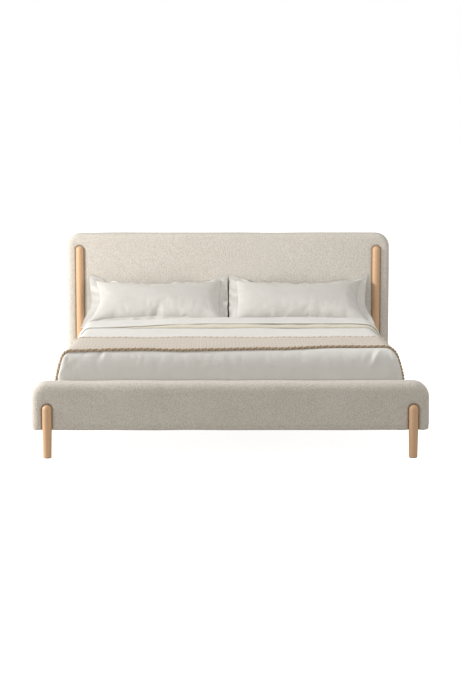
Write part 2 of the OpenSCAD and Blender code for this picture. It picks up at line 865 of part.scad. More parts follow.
module slats() {
    color("wheat") for (i = [0 : slat_count - 1]) translate([0, holder_y(i), 0]) slat();
}

holder_h = slat_t + holder_slot_gap + holder_wall + holder_base_h;
peg_offset = slat_w / 4;

// A slat's outer cap: a pocket open towards the middle of the bed, and a peg in the ledger.
module slat_holder() {
    difference() {
        translate([holder_out - holder_l, -holder_w / 2, ledger_top])
            cube([holder_l, holder_w, holder_h]);
        translate([slat_x1 + holder_slot_gap - holder_l, 0, 0]) slat_pocket(holder_l);
    }
    translate([rail_in - ledger_w / 2, 0, ledger_top - peg_h]) cylinder(h = peg_h, r = peg_r);
}

// The room that a slat's end needs in a cap, starting at x = 0.
module slat_pocket(length) {
    translate([0, -slat_w / 2 - holder_slot_gap, ledger_top + holder_base_h])
        cube([length, slat_w + 2 * holder_slot_gap, slat_t + holder_slot_gap]);
}

module slat_holders() {
    color("black") for (i = [0 : slat_count - 1]) translate([0, holder_y(i), 0]) slat_holder();
}

// Double caps on the centre beam, with two pegs each.
module slat_holders_centre() {
    l = holder_l + slat_x0;
    color("black") for (i = [0 : slat_count - 1]) translate([0, holder_y(i), 0]) {
        difference() {
            translate([-l, -holder_w / 2, ledger_top]) cube([2 * l, holder_w, holder_h]);
            both_sides() translate([slat_x0 - holder_slot_gap, 0, 0]) slat_pocket(l);
        }
        for (s = [-1, 1]) translate([0, s * peg_offset, ledger_top - peg_h])
            cylinder(h = peg_h, r = peg_r);
    }
}

// ---------- Mattress ----------

module mattress_block(inset, z0, z1) {
    w = mattress_w - 2 * inset;
    l = mattress_l - 2 * inset;
    r = mattress_corner_r - inset;
    translate([0, mattress_y0 + inset, z0]) linear_extrude(z1 - z0) plan_rounded(w, l, r, r);
}

comfort_z = mattress_top - ticking_t - comfort_t;
spring_z = mattress_z + ticking_t + base_pad_t;

module mattress_cover() {
    color("white") difference() {
        mattress_block(0, mattress_z, mattress_top);
        mattress_block(ticking_t, mattress_z + ticking_t, mattress_top - ticking_t);
    }
}

module mattress_comfort_foam() {
    color("lightyellow") mattress_block(ticking_t, comfort_z, mattress_top - ticking_t);
}

module mattress_spring_core() {
    color("silver") mattress_block(ticking_t, spring_z, comfort_z);
}

module mattress_base_pad() {
    color("khaki") mattress_block(ticking_t, mattress_z + ticking_t, spring_z);
}

// Sheet over the mattress, with a hem turned under it all round.
module fitted_sheet() {
    color("white") difference() {
        mattress_block(-sheet_t, mattress_z - sheet_t, mattress_top + sheet_t);
        mattress_block(0, mattress_z, mattress_top);
        translate([-mattress_w / 2 + sheet_hem, mattress_y0 + sheet_hem, mattress_z - sheet_t - 1])
            cube([mattress_w - 2 * sheet_hem, mattress_l - 2 * sheet_hem, sheet_t + 2]);
    }
}

// ---------- Bedding ----------

// The duvet's outline across the bed, shrunk by the inset, drawn in X and Y for X and Z.
module duvet_outline(inset) {
    w = duvet_out - inset;
    top = duvet_top - inset;
    side_z0 = duvet_side_z0 + inset;
    right = [[w, side_z0], [w, top - duvet_shoulder], [w - duvet_shoulder, top]];
    polygon(concat(right, mirrored(right)));
}

// Duvet, shrunk by the inset: a slab on the mattress, a drop down each side, a tucked front
// and a turned-back fold.
module duvet_body(inset) {
    y0 = duvet_y0 + inset;
    y1 = fold_y1 - inset;
    fold_w = 2 * (duvet_out - duvet_shoulder - fold_inset - inset);
    difference() {
        translate([0, y0, 0]) stand(y1 - y0) duvet_outline(inset);
        translate([-duvet_in - inset, duvet_y0 + duvet_front_t - inset, duvet_side_z0])
            cube([2 * (duvet_in + inset), mattress_l, duvet_z0 + inset - duvet_side_z0]);
        translate([-duvet_out, duvet_y0, duvet_side_z0])
            cube([2 * duvet_out, duvet_front_t, duvet_front_z0 + inset - duvet_side_z0]);
    }
    translate([-fold_w / 2, fold_y1 - fold_l + inset, duvet_top - inset - 1])
        cube([fold_w, fold_l - 2 * inset, fold_h + 1]);
}

module duvet_cover() {
    color("white") difference() {
        duvet_body(0);
        duvet_body(duvet_shell);
    }
}

module duvet_insert() {
    color("ivory") duvet_body(duvet_shell);
}

// Half of the throw's line over the duvet, from the bed's middle to the hanging edge.
function throw_half(off) = [
    [0, throw_z + off],
    [duvet_out - duvet_shoulder + throw_gap, throw_z + off],
    [duvet_out + throw_gap + off, throw_z - duvet_shoulder],
    [duvet_out + throw_gap + off, throw_end_z]
];
function throw_line(off) = concat(mirrored(throw_half(off)), [for (i = [1 : 3]) throw_half(off)[i]]);

module throw() {
    color("tan") translate([0, throw_y0 + throw_w, 0]) rotate([90, 0, 0]) linear_extrude(throw_w)
        polygon(concat(throw_line(0), reversed(throw_line(throw_t))));
}

// Puts a pillow lying on the origin in its place, leaned back on the headboard.
module pillow_place(side) {
    translate([side * (pillow_w / 2 + pillow_gap), pillow_y, pillow_z])
        rotate([pillow_lean, 0, 0]) translate([0, pillow_l / 2, 0]) children();
}

// Full belly on a flat base, shrunk by the inset.
module pillow_belly(margin, inset) {
    w = pillow_w - 2 * margin - 2 * inset;
    l = pillow_l - 2 * margin - 2 * inset;
    plate = pillow_plate - 2 * inset;
    belly = pillow_t - 2 * inset;
    hull() {
        translate([-w / 2, -l / 2, -plate / 2]) cube([w, l, plate]);
        scale([0.5 * w / belly, 0.62 * l / belly, 1]) sphere(d = belly, $fn = 32);
    }
}

module pillow_flange_plate() {
    translate([-pillow_w / 2, -pillow_l / 2, -pillow_plate / 2]) cube([pillow_w, pillow_l, pillow_plate]);
}

module pillowcase(side) {
    color("white") pillow_place(side) difference() {
        union() {
            pillow_flange_plate();
            pillow_belly(pillow_flange, 0);
        }
        pillow_belly(pillow_flange, pillow_shell);
    }
}

module pillow_insert(side) {
    color("ivory") pillow_place(side) pillow_belly(pillow_flange, pillow_shell);
}

headboard_frame();
headboard_panel();
headboard_foam();
headboard_cover();
headboard_lining();
headboard_packers();
headboard_post(-1);  // headboard_post_left
headboard_post(1);  // headboard_post_right
headboard_post_bolts();
glides(post_y);  // post_glides
footboard_frame();
footboard_panel();
footboard_foam();
footboard_cover();
front_leg(-1);  // front_leg_left
front_leg(1);  // front_leg_right
front_leg_bolts();
glides(leg_y);  // leg_glides
mirror([1, 0, 0]) side_rail_board();  // side_rail_board_left
side_rail_board();  // side_rail_board_right
mirror([1, 0, 0]) side_rail_foam();  // side_rail_foam_left
side_rail_foam();  // side_rail_foam_right
mirror([1, 0, 0]) side_rail_cover();  // side_rail_cover_left
side_rail_cover();  // side_rail_cover_right
mirror([1, 0, 0]) ledger();  // ledger_left
ledger();  // ledger_right
ledger_screws();
corner_brackets();
corner_bolts();
centre_beam();
beam_saddles();
saddle_screws();
centre_leg(centre_y[0]);  // centre_leg_front
centre_leg(centre_y[1]);  // centre_leg_rear
centre_leg_screws();
centre_leg_inserts();
leveller_pad(centre_y[0]);  // leveller_pad_front
leveller_pad(centre_y[1]);  // leveller_pad_rear
leveller_screw(centre_y[0]);  // leveller_screw_front
leveller_screw(centre_y[1]);  // leveller_screw_rear
mirror([1, 0, 0]) slats();  // slats_left
slats();  // slats_right
mirror([1, 0, 0]) slat_holders();  // slat_holders_left
slat_holders();  // slat_holders_right
slat_holders_centre();
mattress_cover();
mattress_comfort_foam();
mattress_spring_core();
mattress_base_pad();
fitted_sheet();
duvet_cover();
duvet_insert();
throw();
pillowcase(-1);  // pillowcase_left
pillowcase(1);  // pillowcase_right
pillow_insert(-1);  // pillow_insert_left
pillow_insert(1);  // pillow_insert_right
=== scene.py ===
"""Looks of a made-up double bed: boucle upholstery, ash posts, a sprung slat base and bedding."""

import logging
import math
from collections.abc import Callable, Iterator, Sequence
from contextlib import contextmanager
from dataclasses import dataclass
from enum import Enum

import bmesh
import bpy
import numpy as np
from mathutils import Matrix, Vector
from mathutils.bvhtree import BVHTree


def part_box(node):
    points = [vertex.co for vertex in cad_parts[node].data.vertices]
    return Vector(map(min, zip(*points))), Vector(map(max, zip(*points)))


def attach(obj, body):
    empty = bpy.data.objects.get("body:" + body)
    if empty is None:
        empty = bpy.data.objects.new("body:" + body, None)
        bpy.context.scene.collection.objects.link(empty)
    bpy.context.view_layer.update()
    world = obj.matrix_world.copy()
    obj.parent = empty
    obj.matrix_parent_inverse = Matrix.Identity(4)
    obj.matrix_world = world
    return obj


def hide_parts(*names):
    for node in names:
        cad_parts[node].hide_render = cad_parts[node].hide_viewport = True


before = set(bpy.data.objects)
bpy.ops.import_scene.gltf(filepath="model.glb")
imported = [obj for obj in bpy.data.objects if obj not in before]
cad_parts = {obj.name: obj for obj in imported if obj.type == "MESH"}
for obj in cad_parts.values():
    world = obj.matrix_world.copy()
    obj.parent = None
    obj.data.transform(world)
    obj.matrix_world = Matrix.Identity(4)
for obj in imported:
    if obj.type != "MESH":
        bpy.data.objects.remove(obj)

log = logging.getLogger("bed")
TINY = 1e-4  # slack when a point is compared with the side of a box
THREAD_TO_SCALE = 6.283  # a wave texture's scale for one thread, times the thread's width
PAIR_TO_SCALE = 3.1416  # the same for a thread and the gap beside it
Colour = tuple[float, float, float]
Point = tuple[float, float, float]
Piece = bpy.types.Object
Socket = bpy.types.NodeSocket


# ---------- Small modelling moves ----------

def deselect_all() -> None:
    """Leaves object mode's selection empty."""
    if bpy.context.mode != "OBJECT":
        bpy.ops.object.mode_set(mode="OBJECT")
    bpy.ops.object.select_all(action="DESELECT")


def activate(piece: Piece) -> None:
    """Makes one object the only selected and active one.

    Args:
        piece: The object to work on.
    """
    deselect_all()
    piece.select_set(True)
    bpy.context.view_layer.objects.active = piece


def settle(piece: Piece) -> None:
    """Moves an object's place into its mesh.

    Args:
        piece: The object whose location, turn and scale are applied.
    """
    activate(piece)
    bpy.ops.object.transform_apply(location=True, rotation=True, scale=True)


@contextmanager
def editing(piece: Piece) -> Iterator[bmesh.types.BMesh]:
    """Opens an object in edit mode with nothing selected.

    Args:
        piece: The object to edit.

    Returns:
        Its edit mesh.
    """
    activate(piece)
    bpy.ops.object.mode_set(mode="EDIT")
    bpy.ops.mesh.select_all(action="DESELECT")
    yield bmesh.from_edit_mesh(piece.data)
    bpy.ops.object.mode_set(mode="OBJECT")


def add_block(name: str, low: Sequence[float], high: Sequence[float]) -> Piece:
    """Adds a box between two corners.

    Args:
        name: The object's name.
        low: Its lowest corner.
        high: Its highest corner.

    Returns:
        The new object.
    """
    deselect_all()
    low_v, high_v = Vector(low), Vector(high)
    bpy.ops.mesh.primitive_cube_add(size=1.0, location=(low_v + high_v) / 2)
    piece = bpy.context.active_object
    piece.name = piece.data.name = name
    piece.scale = high_v - low_v
    settle(piece)
    return piece


def bevel_where(piece: Piece, test: Callable[[Vector, Vector], bool], radius: float,
                segments: int) -> None:
    """Rounds the edges that a test picks.

    Args:
        piece: The object to round.
        test: Says yes to an edge, from its middle and its direction.
        radius: Radius of the rounding.
        segments: Number of segments in it.
    """
    with editing(piece) as mesh:
        for edge in mesh.edges:
            a, b = edge.verts
            edge.select_set(test((a.co + b.co) / 2, (b.co - a.co).normalized()))
        bmesh.update_edit_mesh(piece.data)
        bpy.ops.mesh.bevel(offset=radius, segments=segments, profile=0.5, affect="EDGES")


def delete_where(piece: Piece, test: Callable[[bmesh.types.BMVert], bool]) -> None:
    """Deletes the points that pass a test, and the faces on them.

    Args:
        piece: The object to open.
        test: Told a point, says whether it goes.
    """
    with editing(piece) as mesh:
        for vert in mesh.verts:
            vert.select_set(test(vert))
        mesh.select_flush_mode()
        bmesh.update_edit_mesh(piece.data)
        bpy.ops.mesh.delete(type="VERT")


def apply_modifier(piece: Piece, kind: str, **settings: object) -> None:
    """Adds a modifier with the given settings and applies it.

    Args:
        piece: The object it works on.
        kind: Blender's name of the modifier type.
        settings: Its settings by name.
    """
    activate(piece)
    modifier = piece.modifiers.new(kind.title(), kind)
    for key, value in settings.items():
        setattr(modifier, key, value)
    bpy.ops.object.modifier_apply(modifier=modifier.name)


def remesh(piece: Piece, voxel: float, smoothing: int = 4) -> None:
    """Rebuilds a closed shape as an even net of small faces.

    Args:
        piece: The object to rebuild.
        voxel: Size of a face.
        smoothing: Number of smoothing passes after it.
    """
    apply_modifier(piece, "REMESH", mode="VOXEL", voxel_size=voxel, use_smooth_shade=True)
    if smoothing:
        apply_modifier(piece, "SMOOTH", factor=0.5, iterations=smoothing)


def duplicate(data: bpy.types.Mesh, name: str) -> Piece:
    """Makes an object with its own copy of a mesh.

    Args:
        data: The mesh to copy.
        name: The new object's name.

    Returns:
        The new object.
    """
    piece = bpy.data.objects.new(name, data.copy())
    piece.data.name = name
    bpy.context.collection.objects.link(piece)
    return piece


def read_points(piece: Piece) -> np.ndarray:
    """Returns an object's vertices as an n by 3 array."""
    points = np.empty(len(piece.data.vertices) * 3, np.float64)
    piece.data.vertices.foreach_get("co", points)
    return points.reshape(-1, 3)


def read_normals(piece: Piece) -> np.ndarray:
    """Returns an object's vertex normals as an n by 3 array."""
    normals = np.empty(len(piece.data.vertices) * 3, np.float64)
    piece.data.vertices.foreach_get("normal", normals)
    return normals.reshape(-1, 3)


def write_points(piece: Piece, points: np.ndarray) -> None:
    """Moves an object's vertices.

    Args:
        piece: The object to change.
        points: The new place of each vertex.
    """
    piece.data.vertices.foreach_set("co", points.reshape(-1))
    piece.data.update()


@contextmanager
def sculpting(piece: Piece) -> Iterator[tuple[np.ndarray, np.ndarray]]:
    """Lends out an object's points and writes them back.

    Args:
        piece: The object to shape.

    Yields:
        Its points, to be changed in place, and the way that each faces.
    """
    points = read_points(piece)
    yield points, read_normals(piece)
    write_points(piece, points)


def smooth_shading(piece: Piece, angle: float = math.radians(40)) -> None:
    """Shades an object smooth, with creases past an angle.

    Args:
        piece: The object to shade.
        angle: The sharpest turn that is still shaded smooth.
    """
    activate(piece)
    bpy.ops.object.shade_smooth_by_angle(angle=angle)


def face_out(piece: Piece) -> None:
    """Turns an object's faces outwards.

    Args:
        piece: The closed object to mend.
    """
    with editing(piece):
        bpy.ops.mesh.select_all(action="SELECT")
        bpy.ops.mesh.remove_doubles(threshold=1e-6)
        bpy.ops.mesh.normals_make_consistent(inside=False)


def close_ends(tube: Piece) -> None:
    """Caps the open ends of a tube.

    Args:
        tube: The tube.
    """
    with editing(tube) as mesh:
        for edge in mesh.edges:
            edge.select_set(edge.is_boundary)
        bmesh.update_edit_mesh(tube.data)
        bpy.ops.mesh.edge_face_add()


def join(name: str, pieces: Sequence[Piece]) -> Piece:
    """Joins pieces into one.

    Args:
        name: The joined piece's name.
        pieces: The pieces, the first of which takes in the rest.

    Returns:
        The joined piece.
    """
    deselect_all()
    for piece in pieces:
        piece.select_set(True)
    bpy.context.view_layer.objects.active = pieces[0]
    bpy.ops.object.join()
    joined = bpy.context.active_object
    joined.name = joined.data.name = name
    return joined


def bed_top() -> float:
    """Returns the height of the made-up mattress, without the duvet."""
    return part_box("fitted_sheet")[1][2]


def piece_from_net(name: str, points: np.ndarray, closed: bool = False) -> Piece:
    """Makes an object from a net of rows and columns of points.

    Args:
        name: The object's name.
        points: Rows by columns by 3.
        closed: Whether each row is a ring.

    Returns:
        The new object, with a UV map of columns and rows in metres.
    """
    if closed:
        points = np.concatenate([points, points[:, :1]], axis=1)
    rows, columns = points.shape[:2]
    deselect_all()
    bpy.ops.mesh.primitive_grid_add(x_subdivisions=columns - 1, y_subdivisions=rows - 1, size=1.0)
    piece = bpy.context.active_object
    piece.name = piece.data.name = name
    write_points(piece, points)
    across = np.zeros((rows, columns))
    across[:, 1:] = np.cumsum(np.linalg.norm(np.diff(points, axis=1), axis=2), axis=1)
    along = np.zeros((rows, columns))
    along[1:] = np.cumsum(np.linalg.norm(np.diff(points, axis=0), axis=2), axis=0)
    flat = np.stack([across, along], axis=-1).reshape(-1, 2)
    corners = np.array([loop.vertex_index for loop in piece.data.loops])
    piece.data.uv_layers.active.name = "weave"
    piece.data.uv_layers.active.data.foreach_set("uv", flat[corners].reshape(-1))
    if closed:
        with editing(piece):
            bpy.ops.mesh.select_all(action="SELECT")
            bpy.ops.mesh.remove_doubles(threshold=1e-7)
    return piece


def smooth_step(value: np.ndarray, start: float, end: float) -> np.ndarray:
    """Goes smoothly from 0 at start to 1 at end.

    Args:
        value: The values to map.
        start: Where the rise starts.
        end: Where it ends.

    Returns:
        The mapped values.
    """
    share = np.clip((value - start) / (end - start), 0.0, 1.0)
    return share * share * (3 - 2 * share)


def tighten(points: np.ndarray, pull: float = 0.036) -> None:
    """Draws the bedding's sides in towards its top, as a tightly made bed's are.

    Args:
        points: An n by 3 array, changed in place.
        pull: Share of the width that is drawn in at the top.
    """
    points[:, 0] *= 1 - pull * smooth_step(points[:, 2], 0.38, 0.55)


@dataclass(frozen=True)
class Ripple:
    """Smooth undulation made of a few seeded plane waves."""

    seed: int
    wavelength: float
    height: float
    stretch: Point = (1.0, 1.0, 1.0)
    waves: int = 9

    def at(self, points: np.ndarray) -> np.ndarray:
        """Reads the undulation.

        Args:
            points: An n by 3 array.

        Returns:
            A height for each point.
        """
        rng = np.random.default_rng(self.seed)
        total = np.zeros(len(points))
        for _ in range(self.waves):
            heading = rng.normal(size=3)
            heading /= np.linalg.norm(heading)
            pace = 2 * math.pi / (self.wavelength * rng.uniform(0.6, 1.5))
            total += np.sin(points @ (heading / np.array(self.stretch) * pace) + rng.uniform(0, 6.3))
        return total * self.height / math.sqrt(self.waves)

    def creases(self, points: np.ndarray) -> np.ndarray:
        """Reads narrow valleys where the undulation crosses zero.

        Args:
            points: An n by 3 array.

        Returns:
            A depth from 0 to minus the height for each point.
        """
        level = np.abs(self.at(points)) / self.height
        return -self.height * np.exp(-(level / 0.22) ** 2)


# ---------- Finishes ----------

class Recipe:
    """A material's node tree, with short ways to add and join its nodes."""

    def __init__(self, name: str, roughness: float) -> None:
        """Starts a material with one Principled shader.

        Args:
            name: The material's name.
            roughness: The shader's roughness.
        """
        self.material = bpy.data.materials.new(name)
        self.material.use_nodes = True
        self.tree = self.material.node_tree
        self.shader = self.tree.nodes["Principled BSDF"]
        self.shader.inputs["Roughness"].default_value = roughness
        self.place = self.add("ShaderNodeTexCoord").outputs["Object"]

    def add(self, kind: str, **values: object) -> bpy.types.Node:
        """Adds a node and sets its inputs.

        Args:
            kind: Blender's name of the node type.
            values: Input values or sockets by input name, with _ for a space; plain
                attributes start with set_.

        Returns:
            The node.
        """
        node = self.tree.nodes.new(kind)
        for key, value in values.items():
            if key.startswith("set_"):
                setattr(node, key[4:], value)
                continue
            socket = node.inputs[key.replace("_", " ")]
            if isinstance(value, Socket):
                self.tree.links.new(value, socket)
            else:
                socket.default_value = value
        return node

    def surface_uv(self) -> Socket:
        """Returns the piece's own UV map, in metres."""
        return self.add("ShaderNodeUVMap", set_uv_map="weave").outputs["UV"]

    def scaled(self, scale: Point, place: Socket | None = None,
               turn: Point = (0.0, 0.0, 0.0)) -> Socket:
        """Stretches a set of coordinates.

        Args:
            scale: Factor along each axis.
            place: The coordinates, or None for the object's own.
            turn: Rotation in radians.

        Returns:
            The stretched coordinates.
        """
        node = self.add("ShaderNodeMapping", Scale=scale, Rotation=turn, Vector=place or self.place)
        return node.outputs["Vector"]

    def noise(self, scale: float, detail: float = 3.0, place: Socket | None = None,
              roughness: float = 0.55) -> Socket:
        """Returns a noise pattern of a given scale, from 0 to 1."""
        return self.add("ShaderNodeTexNoise", Scale=scale, Detail=detail, Roughness=roughness,
                        Vector=place or self.place).outputs["Fac"]

    def bands(self, scale: float, axis: str, distortion: float, place: Socket | None = None,
              detail: float = 1.0, detail_scale: float = 1.0) -> Socket:
        """Returns soft stripes that follow each other along an axis, from 0 to 1."""
        return self.add("ShaderNodeTexWave", Scale=scale, Distortion=distortion, Detail=detail,
                        Detail_Scale=detail_scale, set_wave_type="BANDS", set_bands_direction=axis,
                        Vector=place or self.place).outputs["Fac"]

    def mark(self, name: str) -> Socket:
        """Returns a value that the piece's points carry."""
        return self.add("ShaderNodeAttribute", set_attribute_name=name).outputs["Fac"]

    def ramp(self, factor: Socket, stops: Sequence[tuple[float, Colour]]
             ) -> Socket:
        """Colours a pattern.

        Args:
            factor: The pattern.
            stops: Positions from 0 to 1 with their colours.

        Returns:
            The colour.
        """
        node = self.add("ShaderNodeValToRGB", Fac=factor)
        elements = node.color_ramp.elements
        while len(elements) < len(stops):
            elements.new(0.5)
        for element, (position, colour) in zip(elements, stops):
            element.position = position
            element.color = (*colour, 1.0)
        return node.outputs["Color"]

    def sum_of(self, first: Socket, second: Socket,
               share: float) -> Socket:
        """Returns the first pattern plus a share of the second."""
        node = self.add("ShaderNodeMath", set_operation="MULTIPLY_ADD")
        self.tree.links.new(second, node.inputs[0])
        node.inputs[1].default_value = share
        self.tree.links.new(first, node.inputs[2])
        return node.outputs[0]

    def tint(self, colour: Socket, other: Colour, factor: Socket
             ) -> Socket:
        """Multiplies a colour by another where a pattern is 1."""
        node = self.add("ShaderNodeMix", set_data_type="RGBA", set_blend_type="MULTIPLY")
        self.tree.links.new(factor, node.inputs[0])
        self.tree.links.new(colour, node.inputs[6])
        node.inputs[7].default_value = (*other, 1.0)
        return node.outputs[2]

    def relief(self, height: Socket, distance: float, strength: float = 1.0) -> None:
        """Bumps the surface.

        Args:
            height: The relief's pattern.
            distance: Its height in metres.
            strength: Share of it that shows.
        """
        bump = self.add("ShaderNodeBump", Height=height, Distance=distance, Strength=strength)
        self.tree.links.new(bump.outputs["Normal"], self.shader.inputs["Normal"])

    def paint(self, colour: Socket) -> None:
        """Feeds a colour to the shader."""
        self.tree.links.new(colour, self.shader.inputs["Base Color"])

    def sheen(self, weight: float, roughness: float = 0.5) -> None:
        """Sets the soft glow of a napped cloth."""
        self.shader.inputs["Sheen Weight"].default_value = weight
        self.shader.inputs["Sheen Roughness"].default_value = roughness


@dataclass(frozen=True)
class Boucle:
    """Looped wool upholstery cloth with small curls and flecks, and painted shade in the creases round
    the posts and legs.
    """

    name: str = "looped_wool"
    light: Colour = (0.885, 0.85, 0.795)
    mid: Colour = (0.815, 0.775, 0.715)
    dark: Colour = (0.72, 0.675, 0.61)
    loop: float = 0.0062

    def make(self) -> bpy.types.Material:
        """Returns the material."""
        recipe = Recipe(self.name, 0.95)
        curls = recipe.add("ShaderNodeTexVoronoi", Scale=1.0 / self.loop, Randomness=1.0,
                           set_feature="F1", Vector=recipe.place).outputs["Distance"]
        fuzz = recipe.noise(1.1 / self.loop, 3.0)
        slubs = recipe.noise(0.30 / self.loop, 2.0)
        level = recipe.sum_of(recipe.sum_of(fuzz, curls, -0.9), slubs, 0.3)
        colour = recipe.ramp(level, [(0.02, self.dark), (0.24, self.mid), (0.46, self.light)])
        colour = recipe.tint(colour, (0.95, 0.94, 0.92), recipe.noise(3.0, 2.0))
        # painted shade: the pressed mark darkens the cloth in the creases round the posts and legs,
        # standing for the shade that falls there
        recipe.paint(recipe.tint(colour, (0.42, 0.37, 0.32), recipe.mark("pressed")))
        recipe.relief(recipe.sum_of(fuzz, curls, -1.6), 0.0015)
        recipe.sheen(0.2)
        return recipe.material


@dataclass(frozen=True)
class OiledAsh:
    """Pale ash turned round, with its grain along Z."""

    name: str = "oiled_ash"
    light: Colour = (0.84, 0.55, 0.335)
    dark: Colour = (0.69, 0.41, 0.225)

    def make(self) -> bpy.types.Material:
        """Returns the material."""
        recipe = Recipe(self.name, 0.42)
        long_grain = recipe.scaled((1.0, 1.0, 0.045))
        rings = recipe.bands(26.0, "X", 9.0, long_grain, 3.0, 1.4)
        fibre = recipe.noise(420.0, 3.0, long_grain)
        level = recipe.sum_of(recipe.sum_of(recipe.noise(35.0, 2.0, long_grain), rings, 0.35),
                              fibre, 0.3)
        colour = recipe.ramp(level, [(0.35, self.dark), (0.62, self.light), (0.95, self.light)])
        recipe.paint(recipe.tint(colour, (0.90, 0.86, 0.80), recipe.noise(1.8, 2.0)))
        recipe.relief(fibre, 0.0004, 0.6)
        recipe.shader.inputs["Coat Weight"].default_value = 0.12
        recipe.shader.inputs["Coat Roughness"].default_value = 0.35
        return recipe.material


@dataclass(frozen=True)
class SawnTimber:
    """Softwood, birch or plywood with straight grain along one axis."""

    name: str
    grain: Point
    light: Colour = (0.74, 0.56, 0.34)
    dark: Colour = (0.58, 0.40, 0.21)

    def make(self) -> bpy.types.Material:
        """Returns the material."""
        recipe = Recipe(self.name, 0.6)
        place = recipe.scaled(self.grain)
        fibre = recipe.noise(240.0, 4.0, place)
        level = recipe.sum_of(recipe.noise(22.0, 2.0, place), fibre, 0.35)
        colour = recipe.ramp(level, [(0.42, self.dark), (0.85, self.light)])
        knots = recipe.noise(5.0, 1.0)
        recipe.paint(recipe.tint(colour, (0.86, 0.80, 0.72), knots))
        recipe.relief(fibre, 0.0006, 0.7)
        return recipe.material


@dataclass(frozen=True)
class PlainCloth:
    """Plain-woven cotton with fine threads and faint creases."""

    name: str
    colour: Colour
    shade: Colour
    thread: float = 0.0016
    glow: float = 0.12

    def make(self) -> bpy.types.Material:
        """Returns the material."""
        recipe = Recipe(self.name, 0.88)
        warp, weft = (recipe.bands(1.0 / self.thread / THREAD_TO_SCALE, axis, 1.2)
                      for axis in ("X", "DIAGONAL"))
        weave = recipe.sum_of(warp, weft, 1.0)
        soft = recipe.noise(9.0, 4.0)
        colour = recipe.ramp(soft, [(0.30, self.shade), (0.62, self.colour)])
        recipe.paint(recipe.tint(colour, (0.965, 0.962, 0.955), weave))
        recipe.relief(recipe.sum_of(weave, recipe.noise(60.0, 3.0), 1.6), 0.0006, 0.5)
        recipe.sheen(self.glow)
        return recipe.material


@dataclass(frozen=True)
class BasketWeave:
    """Thick woven throw with paired threads and flecks."""

    name: str = "basket_weave"
    light: Colour = (0.93, 0.865, 0.785)
    dark: Colour = (0.70, 0.62, 0.53)
    thread: float = 0.009
    dot_pitch: float = 0.020
    row_pitch: float = 0.105

    def make(self) -> bpy.types.Material:
        """Returns the material."""
        recipe = Recipe(self.name, 0.92)
        cloth = recipe.surface_uv()
        bands = [recipe.bands(1.0 / self.thread / PAIR_TO_SCALE, "X", 1.6,
                              recipe.scaled((1.0, 1.0, 1.0), cloth, (0.0, 0.0, turn)), 2.0, 2.0)
                 for turn in (0.0, math.pi / 2, math.pi / 4)]
        weave = recipe.sum_of(recipe.sum_of(bands[0], bands[1], 1.0), bands[2], 0.5)
        fleck = recipe.noise(330.0, 3.0)
        level = recipe.sum_of(fleck, weave, 0.28)
        colour = recipe.ramp(level, [(0.58, self.dark), (0.92, self.light)])
        dots, rows = (recipe.bands(1.0 / pitch / PAIR_TO_SCALE, axis, 0.6, cloth)
                      for pitch, axis in ((self.dot_pitch, "X"), (self.row_pitch, "Y")))
        picked = recipe.add("ShaderNodeMath", set_operation="MULTIPLY")
        recipe.tree.links.new(dots, picked.inputs[0])
        recipe.tree.links.new(rows, picked.inputs[1])
        spots = recipe.ramp(picked.outputs[0], [(0.30, (0.0, 0.0, 0.0)), (0.62, (1.0, 1.0, 1.0))])
        colour = recipe.tint(colour, (0.88, 0.86, 0.83), spots)
        recipe.paint(recipe.tint(colour, (0.93, 0.91, 0.88), recipe.noise(7.0, 2.0)))
        recipe.relief(recipe.sum_of(weave, fleck, 1.0), 0.0016, 0.9)
        recipe.sheen(0.2)
        return recipe.material


@dataclass(frozen=True)
class TwistedYarn:
    """Yarn of the throw's corded edges, with strand 0 painted darker than strand 1 as painted shade
    between the twisted strands.
    """

    name: str = "throw_edge_yarn"
    light: Colour = (0.70, 0.555, 0.405)
    dark: Colour = (0.40, 0.285, 0.18)

    def make(self) -> bpy.types.Material:
        """Returns the material."""
        recipe = Recipe(self.name, 0.9)
        fibre = recipe.noise(700.0, 3.0)
        tone = recipe.noise(60.0, 2.0)
        # painted shade: the strand mark lifts strand 1, so strand 0 shows darker, standing for the shade
        # between the twisted strands
        level = recipe.sum_of(recipe.sum_of(fibre, tone, 0.4), recipe.mark("strand"), 0.55)
        recipe.paint(recipe.ramp(level, [(0.60, self.dark), (1.20, self.light)]))
        recipe.relief(fibre, 0.0008)
        recipe.sheen(0.2)
        return recipe.material


@dataclass(frozen=True)
class CutFoam:
    """Open-celled foam."""

    name: str
    colour: Colour = (0.88, 0.83, 0.66)

    def make(self) -> bpy.types.Material:
        """Returns the material."""
        recipe = Recipe(self.name, 0.95)
        cells = recipe.add("ShaderNodeTexVoronoi", Scale=420.0, Vector=recipe.place).outputs["Distance"]
        shade = tuple(c * 0.82 for c in self.colour)
        recipe.paint(recipe.ramp(recipe.sum_of(recipe.noise(14.0), cells, 0.5),
                                 [(0.35, shade), (0.85, self.colour)]))
        recipe.relief(cells, 0.0008)
        return recipe.material


@dataclass(frozen=True)
class MouldedPlastic:
    """Dark moulded plastic with a fine spark texture and paler rubbed patches."""

    name: str = "moulded_plastic"
    colour: Colour = (0.028, 0.028, 0.03)
    rubbed: Colour = (0.075, 0.075, 0.078)

    def make(self) -> bpy.types.Material:
        """Returns the material."""
        recipe = Recipe(self.name, 0.5)
        grain = recipe.noise(900.0, 2.0)
        recipe.paint(recipe.ramp(recipe.noise(30.0, 3.0), [(0.45, self.colour), (0.75, self.rubbed)]))
        recipe.relief(grain, 0.0002, 0.6)
        return recipe.material


@dataclass(frozen=True)
class CoatedSteel:
    """Powder-coated or zinc-plated steel."""

    name: str
    colour: Colour
    worn: Colour
    metallic: float
    roughness: float
    orange_peel: float = 700.0

    def make(self) -> bpy.types.Material:
        """Returns the material."""
        recipe = Recipe(self.name, self.roughness)
        recipe.shader.inputs["Metallic"].default_value = self.metallic
        patches = recipe.noise(45.0, 4.0)
        recipe.paint(recipe.ramp(patches, [(0.40, self.colour), (0.72, self.worn)]))
        recipe.relief(recipe.noise(self.orange_peel, 2.0), 0.0002, 0.5)
        return recipe.material


